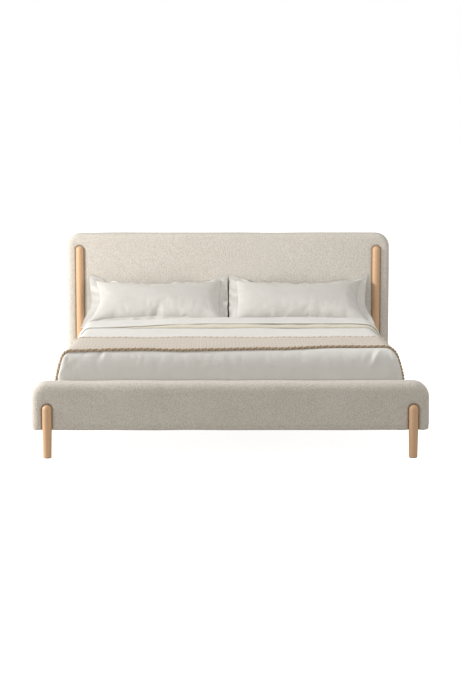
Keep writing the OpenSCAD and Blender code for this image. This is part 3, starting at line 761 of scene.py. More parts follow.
class Finish(Enum):
    """The finishes by what they are on."""

    BOUCLE = Boucle()
    ASH = OiledAsh()
    FRAME_TIMBER = SawnTimber("pine_frame", (0.06, 1.0, 1.0))
    RAIL_TIMBER = SawnTimber("rail_timber", (1.0, 0.06, 1.0))
    PLYWOOD = SawnTimber("face_plywood", (0.08, 1.0, 1.0), (0.78, 0.62, 0.42), (0.64, 0.47, 0.28))
    SLAT = SawnTimber("birch_laminate", (0.05, 1.0, 1.0), (0.82, 0.67, 0.45), (0.70, 0.53, 0.32))
    LINING = PlainCloth("lining_cloth", (0.50, 0.455, 0.40), (0.44, 0.40, 0.35), 0.0022, 0.05)
    FOAM = CutFoam("upholstery_foam")
    COMFORT = CutFoam("comfort_foam", (0.90, 0.88, 0.80))
    SPRINGS = PlainCloth("spring_pockets", (0.74, 0.74, 0.72), (0.66, 0.66, 0.65), 0.003)
    FELT = PlainCloth("base_felt", (0.52, 0.50, 0.46), (0.40, 0.39, 0.37), 0.003)
    TICKING = PlainCloth("ticking_cloth", (0.86, 0.86, 0.84), (0.80, 0.80, 0.79), 0.002)
    SHEET = PlainCloth("percale_sheet", (0.90, 0.895, 0.87), (0.86, 0.855, 0.83))
    DUVET = PlainCloth("percale_duvet", (0.93, 0.925, 0.905), (0.90, 0.893, 0.868))
    LINER = PlainCloth("duvet_lining", (0.84, 0.80, 0.69), (0.80, 0.76, 0.65))
    PILLOW = PlainCloth("percale_pillow", (0.775, 0.762, 0.732), (0.73, 0.718, 0.686))
    FILLING = PlainCloth("down_filling", (0.88, 0.86, 0.82), (0.82, 0.80, 0.76), 0.002)
    THROW = BasketWeave()
    THROW_EDGE = TwistedYarn()
    THROW_EDGE_PALE = TwistedYarn("pale_edge_yarn", (0.92, 0.85, 0.76), (0.72, 0.63, 0.53))
    PLASTIC = MouldedPlastic()
    BLACK_STEEL = CoatedSteel("black_powder_coat", (0.035, 0.035, 0.037), (0.055, 0.055, 0.057),
                              0.0, 0.48)
    ZINC = CoatedSteel("zinc_plate", (0.62, 0.63, 0.64), (0.50, 0.51, 0.52), 1.0, 0.34, 500.0)

    @property
    def material(self) -> bpy.types.Material:
        """The finish's material, made when it is first asked for."""
        return bpy.data.materials.get(self.value.name) or self.value.make()

    def on(self, piece: Piece) -> None:
        """Puts the finish on every face of a piece.

        Args:
            piece: A new piece or a CAD node.
        """
        if not piece.material_slots:
            piece.data.materials.append(self.material)
        for material_slot in piece.material_slots:
            material_slot.material = self.material


def stand_in(piece: Piece, finish: Finish, body: str, node: str) -> None:
    """Gives a new piece its finish and puts it in a CAD node's place.

    Args:
        piece: The new piece.
        finish: What it is made of.
        body: The body that it rides on.
        node: The CAD node that it stands for.
    """
    finish.on(piece)
    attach(piece, body)
    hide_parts(node)
    log.info("%s stands for %s, %d faces", piece.name, node, len(piece.data.polygons))


# ---------- Upholstery ----------

@dataclass(frozen=True)
class Peg:
    """A round post or leg that presses into a padded face."""

    x: float
    y: float
    top: float
    radius: float
    depth: float = 0.02
    fade: float = 0.045

    def press(self, points: np.ndarray, front: float, gap: float, crease: float,
              snap: float) -> np.ndarray:
        """Works out how far the face gives way round the post.

        Args:
            points: The padded board's points; those next to the rim are moved on to it.
            front: The face's place along Y.
            gap: Room between the cloth and the post behind it.
            crease: Width of the valley beside the post.
            snap: Distance within which points move on to the rim.

        Returns:
            The share of the padding that is pressed away, and how far behind the face
            the hidden part of the groove is.
        """
        above = np.maximum(points[:, 2] - (self.top - self.radius), 0.0)
        away = np.hypot(points[:, 0] - self.x, above)
        pressed = np.exp(-np.maximum(away - self.radius, 0.0) ** 2 / crease ** 2)
        reach = self.radius + gap
        rim = (np.abs(away - reach) < snap) & (points[:, 1] < front + self.depth)
        pull = np.where(rim, reach / np.maximum(away, 1e-6), 1.0)
        points[:, 0] = self.x + (points[:, 0] - self.x) * pull
        points[:, 2] += above * (pull - 1.0)
        away = np.where(rim, reach, away)
        hollow = np.sqrt(np.maximum(reach ** 2 - away ** 2, 0.0)) + (self.y - front)
        near = 1.0 - smooth_step(points[:, 1], front + self.depth, front + self.fade)
        return np.stack([pressed * near, np.where(away < reach, hollow, 0.0) * near])


@dataclass
class PaddedBoard:
    """An upholstered board at the head or the foot of the bed."""

    node: str
    corner_r: float
    front_r: float
    back_r: float
    voxel: float
    pegs: tuple[Peg, ...] = ()
    seed: int = 3
    bottom_r: float = 0.006
    puff: float = 0.007
    cloth_gap: float = 0.0012
    crease_w: float = 0.011
    hem_up: float = 0.014
    hem_w: float = 0.006
    hem_depth: float = 0.0025
    rear_inset: float = 0.0030

    def rounded_block(self, low: Vector, high: Vector) -> Piece:
        """Returns the board's outline with all its edges rounded, as an even net of faces.

        Args:
            low: The CAD cover's lowest corner.
            high: Its highest corner.
        """
        cover = add_block(f"{self.node}_cloth", low, high)
        bevel_where(cover, lambda m, d: abs(d.y) > 0.9 and m.z > high.z - TINY, self.corner_r, 14)
        bevel_where(cover, lambda m, d: m.y < low.y + TINY and m.z > low.z + TINY, self.front_r, 8)
        bevel_where(cover, lambda m, d: m.y > high.y - TINY and m.z > low.z + TINY, self.back_r, 5)
        bevel_where(cover, lambda m, d: m.z < low.z + TINY, self.bottom_r, 3)
        remesh(cover, self.voxel)
        return cover

    def build(self) -> Piece:
        """Returns the board's cloth cover, rounded, puffed and pressed by its posts, with a mark for
        painted shade in the creases beside them.
        """
        low, high = (Vector(corner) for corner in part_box(self.node))
        cover = self.rounded_block(low, high)
        points = read_points(cover)
        normals = read_normals(cover)
        flat = smooth_step(-normals[:, 1], 0.2, 0.95)
        push = self.puff * flat + Ripple(self.seed, 0.35, 0.0012).at(points)
        hem = np.exp(-((points[:, 2] - low.z - self.hem_up) / self.hem_w) ** 2)
        push -= self.hem_depth * hem * (1 - np.abs(normals[:, 2]))
        rear = smooth_step(normals[:, 1], 0.3, 0.8)
        push = push * (1 - rear) - self.rear_inset * rear
        behind = np.zeros(len(points))
        # rim gathers where the boucle gets painted shade, in the creases beside the posts and legs
        rim = np.zeros(len(points))
        for peg in self.pegs:
            pressed, hollow = peg.press(points, low.y, 0.001, self.crease_w, self.voxel * 0.5)
            push *= 1.0 - pressed
            behind = np.maximum(behind, hollow)
            rim = np.maximum(rim, np.clip(pressed * 1.6 - 0.6, 0.0, 1.0))
        # the pressed mark carries this painted crease shade to the boucle material
        cover.data.attributes.new("pressed", "FLOAT", "POINT").data.foreach_set("value", rim)
        points += normals * (push + self.cloth_gap)[:, None]
        points[:, 1] = np.where(behind > 0, np.maximum(points[:, 1], low.y + behind), points[:, 1])
        write_points(cover, points)
        smooth_shading(cover, math.radians(70))
        return cover

    def dress(self, cover: Piece) -> None:
        """Gives the cover its cloth and puts it in the CAD cover's place."""
        stand_in(cover, Finish.BOUCLE, "frame", self.node)


@dataclass
class SideRail:
    """One upholstered side rail, its outer top edge rounded and its head end cut for the post."""

    side: str
    post: Peg
    edge_r: float = 0.022
    inner_r: float = 0.005
    voxel: float = 0.007
    puff: float = 0.004
    end_fade: float = 0.02
    cloth_gap: float = 0.0008
    post_gap: float = 0.0015

    @property
    def node(self) -> str:
        """The CAD cover's name."""
        return f"side_rail_cover_{self.side}"

    def rounded_block(self, low: Vector, high: Vector, outer: float) -> Piece:
        """Returns the rail's outline with its long edges rounded, as an even net of faces.

        Args:
            low: The CAD cover's lowest corner.
            high: Its highest corner.
            outer: The outer face's place along X.
        """
        cover = add_block(f"side_rail_{self.side}_cloth", low, high)

        def outer_top(middle: Vector, heading: Vector) -> bool:
            return abs(heading.y) > 0.9 and abs(middle.x - outer) < TINY and middle.z > high.z - TINY

        def other_long(middle: Vector, heading: Vector) -> bool:
            inner_top = middle.z > high.z - TINY and abs(middle.x - outer) > self.edge_r + TINY
            return abs(heading.y) > 0.9 and (middle.z < low.z + TINY or inner_top)

        bevel_where(cover, outer_top, self.edge_r, 7)
        bevel_where(cover, other_long, self.inner_r, 3)
        remesh(cover, self.voxel, 3)
        return cover

    def build(self) -> Piece:
        """Returns the rail's cloth cover."""
        low, high = (Vector(corner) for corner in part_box(self.node))
        outer = high.x if self.side == "right" else low.x
        cover = self.rounded_block(low, high, outer)
        points = read_points(cover)
        normals = read_normals(cover)
        away = np.minimum(points[:, 1] - low.y, high.y - points[:, 1])
        outward = np.sign(outer) * normals[:, 0]
        push = self.puff * smooth_step(outward, 0.2, 0.9) * smooth_step(away, 0.0, self.end_fade)
        push += Ripple(11, 0.4, 0.001).at(points) + self.cloth_gap
        points += normals * push[:, None]
        post = self.post
        notch = (points[:, 1] > post.y - post.radius - 2 * self.post_gap) & (points[:, 2] > low.z - 0.01)
        reach = post.x - math.copysign(post.radius + self.post_gap, post.x)
        beyond = points[:, 0] * math.copysign(1.0, reach) > abs(reach)
        points[notch & beyond, 0] = reach
        write_points(cover, points)
        smooth_shading(cover, math.radians(60))
        return cover

    def dress(self, cover: Piece) -> None:
        """Gives the cover its cloth and puts it in the CAD cover's place."""
        stand_in(cover, Finish.BOUCLE, "frame", self.node)


@dataclass(frozen=True)
class Wadding:
    """The foam under a board's or a rail's cloth, its edges softened."""

    node: str
    voxel: float = 0.009
    shrink: float = 0.004

    def build(self) -> Piece:
        """Returns the foam, an evenly faced and slightly slimmer copy of the CAD node."""
        foam = duplicate(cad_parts[self.node].data, f"{self.node}_wadding")
        remesh(foam, self.voxel, 6)
        write_points(foam, read_points(foam) - read_normals(foam) * self.shrink)
        smooth_shading(foam, math.radians(60))
        return foam

    def dress(self, foam: Piece) -> None:
        """Gives the foam its looks and puts it in the CAD foam's place."""
        stand_in(foam, Finish.FOAM, "frame", self.node)


# ---------- Mattress ----------

@dataclass
class Mattress:
    """The quilted mattress and the fitted sheet stretched over it."""

    corner_r: float = 0.060
    edge_r: float = 0.045
    hem: float = 0.09
    voxel: float = 0.014
    layer_voxel: float = 0.016
    layer_inset: float = 0.004
    quilt: float = 0.16
    quilt_depth: float = 0.004
    pull_reach: float = 0.16
    crown: float = 0.004
    sheet_gap: float = 0.0015
    sheet_t: float = 0.0012
    corner_pulls: Ripple = Ripple(21, 0.06, 0.0022, (1.0, 1.0, 3.0))
    sheet_waves: Ripple = Ripple(22, 0.30, 0.0010)

    def rounded(self, name: str, node: str, shrink: float, voxel: float, top: bool = True,
                bottom: bool = True) -> Piece:
        """Makes a rounded block the size of a CAD node.

        Args:
            name: The new object's name.
            node: The CAD node.
            shrink: How much smaller it is on every side.
            voxel: Size of its faces.
            top: Whether its upper edges are rounded.
            bottom: Whether its lower edges are.

        Returns:
            The block.
        """
        low, high = (Vector(corner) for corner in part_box(node))
        inset = Vector((shrink, shrink, shrink))
        low, high = low + inset, high - inset
        block = add_block(name, low, high)
        edge_r = min(self.edge_r, (high.z - low.z) * 0.49)
        bevel_where(block, lambda m, d: abs(d.z) > 0.9, self.corner_r, 8)
        if top:
            bevel_where(block, lambda m, d: m.z > high.z - TINY, edge_r, 4)
        if bottom:
            bevel_where(block, lambda m, d: m.z < low.z + TINY, edge_r, 4)
        remesh(block, voxel, 2)
        with sculpting(block) as (points, _):
            tighten(points)
        return block

    def build_ticking(self) -> Piece:
        """Returns the quilted cover, with diamond quilting on its top and underside."""
        cover = self.rounded("mattress_ticking", "mattress_cover", 0.0015, self.layer_voxel)
        with sculpting(cover) as (points, normals):
            lines = [np.abs((run / self.quilt) % 1.0 - 0.5)
                     for run in (points[:, 0] + points[:, 1], points[:, 0] - points[:, 1])]
            stitch = np.exp(-(np.minimum(*lines) / 0.09) ** 2)
            push = -self.quilt_depth * stitch * smooth_step(np.abs(normals[:, 2]), 0.6, 0.95)
            points += normals * push[:, None]
        smooth_shading(cover, math.radians(60))
        return cover

    def build_sheet(self) -> Piece:
        """Returns the sheet: a thin shell over the top and sides, hemmed under the mattress."""
        sheet = self.rounded("fitted_sheet_cloth", "fitted_sheet", 0.0, self.voxel)
        with sculpting(sheet) as (points, normals):
            low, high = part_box("fitted_sheet")
            from_side = high[0] - np.abs(points[:, 0])
            from_end = np.minimum(points[:, 1] - low[1], high[1] - points[:, 1])
            near_corner = np.exp(-(np.hypot(from_side, from_end) / self.pull_reach) ** 2)
            pull = self.corner_pulls.creases(points) * near_corner
            crown = self.crown * smooth_step(np.minimum(from_side, from_end), 0.0, 0.3)
            crown *= smooth_step(normals[:, 2], 0.5, 1.0)
            soft = np.maximum(self.sheet_waves.at(points), -0.0005)
            points += normals * (pull + crown + soft + self.sheet_gap)[:, None]
        self.open_underneath(sheet)
        apply_modifier(sheet, "SOLIDIFY", thickness=self.sheet_t, offset=-1.0)
        smooth_shading(sheet, math.radians(60))
        return sheet

    def open_underneath(self, sheet: Piece) -> None:
        """Takes away the sheet's underside inside its hem.

        Args:
            sheet: The closed sheet.
        """
        low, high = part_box("fitted_sheet")

        def hidden(vert: bmesh.types.BMVert) -> bool:
            under = vert.co.z < low[2] + 0.004
            inside_x = abs(vert.co.x) < high[0] - self.hem
            return under and inside_x and low[1] + self.hem < vert.co.y < high[1] - self.hem

        delete_where(sheet, hidden)

    def dress_layers(self) -> None:
        """Builds and dresses the layers inside the ticking."""
        for node, finish, slot, edges in (
            ("mattress_comfort_foam", Finish.COMFORT, "foam", (True, False)),
            ("mattress_spring_core", Finish.SPRINGS, "mattress_filling", (False, False)),
            ("mattress_base_pad", Finish.FELT, "mattress_filling", (False, True)),
        ):
            layer = self.rounded(f"{node}_layer", node, self.layer_inset, self.layer_voxel, *edges)
            smooth_shading(layer, math.radians(60))
            stand_in(layer, finish, "mattress", node)

    def dress(self, ticking: Piece, sheet: Piece) -> None:
        """Dresses the mattress's cover and its sheet.

        Args:
            ticking: The quilted cover.
            sheet: The fitted sheet.
        """
        stand_in(ticking, Finish.TICKING, "mattress", "mattress_cover")
        stand_in(sheet, Finish.SHEET, "mattress", "fitted_sheet")


# ---------- Duvet ----------

@dataclass(frozen=True)
class Crease:
    """A valley that runs down the duvet's front face from its top edge."""

    x: float
    depth: float
    reach: float
    slant: float
    width: float = 0.010

    def depth_at(self, points: np.ndarray, top: float) -> np.ndarray:
        """Reads the valley.

        Args:
            points: An n by 3 array.
            top: Height of the face's top edge.

        Returns:
            A negative push for each point.
        """
        down = top - points[:, 2]
        off = (points[:, 0] - self.x - self.slant * down) / self.width
        return -self.depth * np.exp(-off ** 2) * (1 - smooth_step(down, self.reach * 0.4, self.reach))


@dataclass
class Duvet:
    """The duvet: laid over the mattress, tucked in at the foot and turned back at the head."""

    thickness: float = 0.014
    voxel: float = 0.0095
    shoulder_r: float = 0.064
    corner_r: float = 0.072
    slimmer: float = 0.023
    rise: float = 0.022
    tuck: float = 0.018
    flare: float = 0.005
    billow: float = 0.006
    billow_z: float = 0.47
    filling_inset: float = 0.004
    fold_rise: float = 0.0222
    fold_hang: float = 0.10
    fold_lean: float = 0.10
    nose: float = 0.389
    upper_t: float = 0.015
    lining_t: float = 0.024
    fold_net_size: tuple[int, int] = (221, 36)
    side_folds: Ripple = Ripple(31, 0.33, 0.010, (1.0, 1.0, 4.0))
    front_folds: Ripple = Ripple(33, 0.085, 0.0028, (1.0, 1.0, 2.6))
    top_waves: Ripple = Ripple(34, 0.42, 0.0014)
    corner_folds: Ripple = Ripple(35, 0.045, 0.0060, (1.0, 1.0, 3.0))
    nose_pleats: Ripple = Ripple(43, 0.07, 0.0018, (2.5, 0.8, 1.0))
    creases: tuple[Crease, ...] = (
        Crease(-0.800, 0.004, 0.06, -0.10), Crease(-0.715, 0.006, 0.07, 0.12),
        Crease(-0.690, -0.004, 0.06, 0.16), Crease(-0.40, 0.002, 0.05, 0.30),
        Crease(0.830, -0.010, 0.10, -0.75, 0.016), Crease(0.800, 0.006, 0.11, -0.75, 0.016),
        Crease(0.865, 0.005, 0.16, 0.12, 0.009), Crease(0.30, 0.002, 0.05, -0.20),
    )

    @property
    def half(self) -> float:
        """Half the cover's width."""
        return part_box("duvet_cover")[1][0] - self.slimmer

    @property
    def top(self) -> float:
        """Height of the cover's top."""
        return bed_top() + self.rise

    @property
    def tuck_low(self) -> float:
        """Height at which the front face ends, behind the footboard."""
        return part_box("footboard_cover")[1][2] - self.tuck

    def rounded_block(self) -> Piece:
        """Returns the cover's outline with its edges rounded, as an even net of faces."""
        low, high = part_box("duvet_cover")
        half, top = self.half, self.top
        block = add_block("duvet_cloth", (-half, low[1], low[2]), (half, high[1], top))
        bevel_where(block, lambda m, d: abs(d.z) > 0.9 and m.y < low[1] + TINY, self.corner_r, 7)
        bevel_where(block, lambda m, d: m.z > top - TINY and m.y < high[1] - TINY, self.shoulder_r, 7)
        remesh(block, self.voxel, 3)
        return block

    def folds_at(self, points: np.ndarray, normals: np.ndarray) -> np.ndarray:
        """Works out how far the cover's folds push each point out.

        Args:
            points: The cover's points.
            normals: The way that each faces.

        Returns:
            A push for each point.
        """
        tucked = smooth_step(-normals[:, 1], 0.3, 0.9)
        high_part = smooth_step(points[:, 2], self.tuck_low, self.top)
        push = self.front_folds.creases(points) * tucked * high_part
        push += self.top_waves.at(points) * smooth_step(normals[:, 2], 0.4, 0.9)
        for crease in self.creases:
            push += crease.depth_at(points, self.top) * tucked
        push += self.billow * tucked * np.exp(-((points[:, 2] - self.billow_z) / 0.045) ** 2)
        from_front = points[:, 1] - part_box("duvet_cover")[0][1]
        corner = np.exp(-(np.hypot(self.half - np.abs(points[:, 0]), from_front) / 0.075) ** 2)
        push += self.corner_folds.creases(points) * corner * (1 - high_part * 0.4)
        return push

    def build(self) -> Piece:
        """Returns the duvet's cover, a thick shell open underneath."""
        block = self.rounded_block()
        with sculpting(block) as (points, normals):
            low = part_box("duvet_cover")[0]
            drop = smooth_step(self.top - points[:, 2], 0.02, self.top - low[2])
            behind = smooth_step(points[:, 1] - low[1], 0.02, 0.30)
            out = np.sign(points[:, 0]) * drop * behind * (self.flare + self.side_folds.at(points))
            points[:, 0] += out * smooth_step(np.abs(normals[:, 0]), 0.1, 0.6)
            points += normals * self.folds_at(points, normals)[:, None]
            tighten(points)
        self.open_underneath(block)
        apply_modifier(block, "SOLIDIFY", thickness=self.thickness, offset=-1.0, use_rim=True)
        apply_modifier(block, "SMOOTH", factor=0.5, iterations=3)
        smooth_shading(block, math.radians(60))
        return block

    def open_underneath(self, block: Piece) -> None:
        """Takes away the cover's underside and the end of it that lies under the pillows.

        Args:
            block: The closed cover.
        """
        low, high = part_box("duvet_cover")
        half, top, tuck_low = self.half, self.top, self.tuck_low

        def hidden(vert: bmesh.types.BMVert) -> bool:
            front = vert.co.y < low[1] + 0.075 and abs(vert.co.x) < half - 0.01
            under = vert.co.z < (tuck_low if front else low[2] + 0.010)
            below = vert.co.z < top - 0.012
            return under or (below and (vert.co.y > high[1] - 0.008 or vert.normal.z < -0.5))

        delete_where(block, hidden)

    def fold_net(self, upper: bool) -> np.ndarray:
        """Lays out the points of one layer of the turned-back part.

        Args:
            upper: Whether it is the white upper layer, or the lining layer under it.

        Returns:
            Rows across the bed by columns round the layer by 3.
        """
        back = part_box("duvet_cover")[1][1]
        flat_half = self.half - self.shoulder_r
        quarter = self.shoulder_r * math.pi / 2
        across, around = self.fold_net_size
        reach = flat_half + quarter + self.fold_hang
        s = np.linspace(-reach, reach, across)
        shown = smooth_step(s, -0.92, -0.10) * (1 - 0.5 * smooth_step(s, 0.75, 1.0))
        lining_t = 0.004 + self.lining_t * shown
        base = lining_t - 0.0040 if upper else np.full(across, -0.0024)
        thick = np.full(across, self.upper_t) - 0.004 * shown if upper else lining_t
        nose = self.nose - (0.024 * shown if upper else 0.012 * (1 - shown))
        puff = 1.0 + 0.16 * np.sin(s * 5.1 + (1.0 if upper else 2.6)) + 0.08 * np.sin(s * 13.3)
        over = np.maximum(np.abs(s) - flat_half, 0.0)
        angle = np.minimum(over / self.shoulder_r, math.pi / 2)
        down = np.maximum(over - quarter, 0.0)
        net = np.zeros((across, around, 3))
        for column, turn in enumerate(np.linspace(0, 2 * math.pi, around, endpoint=False)):
            blunt = 0.34 if math.sin(turn) > 0 else 0.10
            width = math.copysign(abs(math.cos(turn)) ** blunt, math.cos(turn))
            height = math.copysign(abs(math.sin(turn)) ** 0.80, math.sin(turn))
            lift = base + thick / 2 * (1 + height * (puff if height > 0 else 1.0))
            radius = self.shoulder_r + lift
            x = np.minimum(np.abs(s), flat_half) + np.sin(angle) * radius + self.fold_lean * down
            z = bed_top() + self.fold_rise - self.shoulder_r + np.cos(angle) * radius - down
            y = back - 0.002 - (nose - 0.002) * (1 + width) / 2
            net[:, column] = np.stack([np.sign(s) * x, y, z], axis=1)
        return net

    def build_fold(self, name: str, upper: bool) -> Piece:
        """Builds one layer of the turned-back part.

        Args:
            name: The layer's name.
            upper: Whether it is the white upper layer, or the lining layer under it.

        Returns:
            The layer, a long padded slab that hangs over both sides.
        """
        layer = piece_from_net(name, self.fold_net(upper), closed=True)
        close_ends(layer)
        face_out(layer)
        with sculpting(layer) as (points, normals):
            push = Ripple(41 if upper else 42, 0.22, 0.0014).at(points)
            push += self.nose_pleats.creases(points) * smooth_step(-normals[:, 1], 0.1, 0.7)
            points += normals * (push * smooth_step(normals[:, 2], -0.4, 0.1))[:, None]
            tighten(points)
        smooth_shading(layer, math.radians(65))
        return layer

    def build_filling(self, cover: Piece) -> Piece:
        """Returns the filling, a slimmer copy of the cover inside it.

        Args:
            cover: The duvet's cover.
        """
        filling = duplicate(cover.data, "duvet_filling")
        points = read_points(filling) - read_normals(filling) * self.filling_inset
        write_points(filling, points)
        return filling

    def dress(self, cover: Piece, folds: Sequence[Piece],
              filling: Piece) -> None:
        """Dresses the duvet.

        Args:
            cover: The duvet's cover.
            folds: The upper and the lining layer of its turned-back part.
            filling: The filling.
        """
        for piece, finish in zip((cover, *folds), (Finish.DUVET, Finish.DUVET, Finish.LINER)):
            stand_in(piece, finish, "duvet", "duvet_cover")
        stand_in(filling, Finish.FILLING, "duvet", "duvet_insert")


# ---------- Throw ----------

@dataclass
class Throw:
    """The woven throw across the foot of the bed, with a twisted cord along both long edges."""

    thickness: float = 0.005
    length: float = 2.22
    skew: float = 0.045
    shoulder: float = 0.070
    rise: float = 0.0255
    edge_room: float = 0.02
    toward_foot: float = 0.017
    gap: float = 0.0026
    net_size: tuple[int, int] = (241, 57)
    cord_r: float = 0.0072
    cord_pitch: float = 0.034
    cord_steps: int = 9
    strand_off: float = 0.55
    strand_r: float = 0.62
    strand_sides: int = 8

    @property
    def flat(self) -> float:
        """Half the width of the level part."""
        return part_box("duvet_cover")[1][0] - Duvet.slimmer - Duvet.shoulder_r

    @property
    def width(self) -> float:
        """Width of the cloth between its cords."""
        low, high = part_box("throw")
        return high[1] - low[1] - self.edge_room

    def turned(self, s: np.ndarray) -> tuple[np.ndarray, np.ndarray]:
        """Finds how far the cloth has turned down the bed's side.

        Args:
            s: Distance along the cloth from the bed's middle.

        Returns:
            The distance past the level part, and the angle, for each distance.
        """
        over = np.maximum(np.abs(s) - self.flat, 0.0)
        return over, np.minimum(over / self.shoulder, math.pi / 2)

    def profile(self, s: np.ndarray) -> np.ndarray:
        """Finds the throw's line across the bed.

        Args:
            s: Distance along the cloth from the bed's middle.

        Returns:
            X and Z for each distance.
        """
        over, angle = self.turned(s)
        hang = np.maximum(over - self.shoulder * math.pi / 2, 0.0)
        x = np.minimum(np.abs(s), self.flat) + np.sin(angle) * self.shoulder + 0.05 * hang
        z = bed_top() + self.rise - self.shoulder + np.cos(angle) * self.shoulder - hang
        line = np.stack([np.sign(s) * x, np.zeros_like(x), z], axis=1)
        tighten(line)
        return line[:, ::2]

    def net(self) -> np.ndarray:
        """Returns the cloth's points, as rows along the bed by columns across it by 3."""
        across, along = self.net_size
        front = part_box("throw")[0][1] - self.toward_foot
        s = np.linspace(-self.length / 2, self.length / 2, across)
        line = self.profile(s)
        skew = self.skew * smooth_step(s, 0.10, 1.00) - 0.010 * smooth_step(-s, 0.3, 1.0)
        points = np.zeros((along, across, 3))
        for row, share in enumerate(np.linspace(0.0, 1.0, along)):
            wave = 0.003 * np.sin(s * 6.1 + share * 3.0) + 0.001 * np.sin(s * 13.7 + 1.0)
            points[row, :, ::2] = line
            points[row, :, 1] = front + share * self.width + skew + wave
        return points

    def build(self, under: Piece) -> Piece:
        """Returns the cloth, laid over the bedding.

        Args:
            under: The duvet's cover.
        """
        points = self.net()
        flat = points.reshape(-1, 3)
        s = np.tile(np.linspace(-self.length / 2, self.length / 2, points.shape[1]), points.shape[0])
        self.lay_on(flat, s, under)
        cloth = piece_from_net("throw_cloth", flat.reshape(points.shape))
        apply_modifier(cloth, "SMOOTH", factor=0.5, iterations=2)
        apply_modifier(cloth, "SOLIDIFY", thickness=self.thickness, offset=1.0)
        face_out(cloth)
        smooth_shading(cloth, math.radians(60))
        return cloth

    def lay_on(self, points: np.ndarray, s: np.ndarray, under: Piece) -> None:
        """Lays the cloth on the piece under it, from above and from both sides.

        Args:
            points: The cloth's points, changed in place.
            s: Distance of each point from the bed's middle, along the cloth.
            under: The piece that it lies on.
        """
        tree = BVHTree.FromPolygons([v.co for v in under.data.vertices],
                                    [p.vertices for p in under.data.polygons])
        gap = self.gap + Ripple(52, 0.24, 0.0008).at(points)
        _, angle = self.turned(s)
        for index, point in enumerate(points):
            out = Vector((math.copysign(math.sin(angle[index]), s[index]), 0.0, math.cos(angle[index])))
            hit, _, _, _ = tree.ray_cast(Vector(point) + out * 0.10, -out, 0.20)
            if hit is not None:
                points[index] = hit + out * gap[index]

    def edges(self, cloth: Piece) -> tuple[np.ndarray, np.ndarray]:
        """Reads the cloth's two long edges.

        Args:
            cloth: The piece that build returned.

        Returns:
            The points of the foot side's edge and of the head side's.
        """
        columns, rows = self.net_size
        top = read_points(cloth)[:columns * rows].reshape(rows, columns, 3)
        return top[0], top[-1]

    def build_cord(self, line: np.ndarray, name: str) -> Piece:
        """Returns a two-strand twisted cord along a line.

        Args:
            line: The line's points.
            name: The cord's name.
        """
        run = np.concatenate([[0.0], np.cumsum(np.linalg.norm(np.diff(line, axis=0), axis=1))])
        count = int(run[-1] / self.cord_pitch * self.cord_steps)
        at = np.linspace(0.0, run[-1], count)
        centre = np.stack([np.interp(at, run, line[:, axis]) for axis in range(3)], axis=1)
        tangent = np.gradient(centre, axis=0)
        tangent /= np.linalg.norm(tangent, axis=1)[:, None]
        side = np.cross(tangent, np.array([0.0, 1.0, 0.0]))
        side /= np.linalg.norm(side, axis=1)[:, None]
        up = np.cross(side, tangent)
        strands = []
        for strand in range(2):
            turn = at / self.cord_pitch * 2 * math.pi + strand * math.pi
            offset = side * np.cos(turn)[:, None] + up * np.sin(turn)[:, None]
            path = centre + offset * self.cord_r * self.strand_off
            ring = np.zeros((count, self.strand_sides, 3))
            for spoke in range(self.strand_sides):
                angle = spoke * 2 * math.pi / self.strand_sides
                spread = side * math.cos(angle) + up * math.sin(angle)
                ring[:, spoke] = path + spread * self.cord_r * self.strand_r
            piece = piece_from_net(f"{name}_strand_{strand}", ring, closed=True)
            # the strand mark drives the painted shade that darkens strand 0 in the yarn material
            shade = np.full(len(piece.data.vertices), float(strand))
            piece.data.attributes.new("strand", "FLOAT", "POINT").data.foreach_set("value", shade)
            close_ends(piece)
            strands.append(piece)
        cord = join(name, strands)
        face_out(cord)
        smooth_shading(cord, math.radians(80))
        return cord

    def dress(self, cloth: Piece, cords: Sequence[Piece]) -> None:
        """Dresses the throw.

        Args:
            cloth: The woven cloth.
            cords: Its edge cords, at the foot side and at the head side.
        """
        finishes = (Finish.THROW, Finish.THROW_EDGE, Finish.THROW_EDGE_PALE)
        for piece, finish in zip((cloth, *cords), finishes):
            stand_in(piece, finish, "throw", "throw")


# ---------- Pillows ----------

PILLOW_CLOTH: dict[str, float] = {
    "quality": 8, "mass": 0.25, "tension_stiffness": 30.0, "compression_stiffness": 30.0,
    "shear_stiffness": 12.0, "bending_stiffness": 0.12, "tension_damping": 25.0,
    "compression_damping": 25.0, "shear_damping": 25.0, "air_damping": 3.0,
    "use_pressure": True, "uniform_pressure_force": 5.0,
}


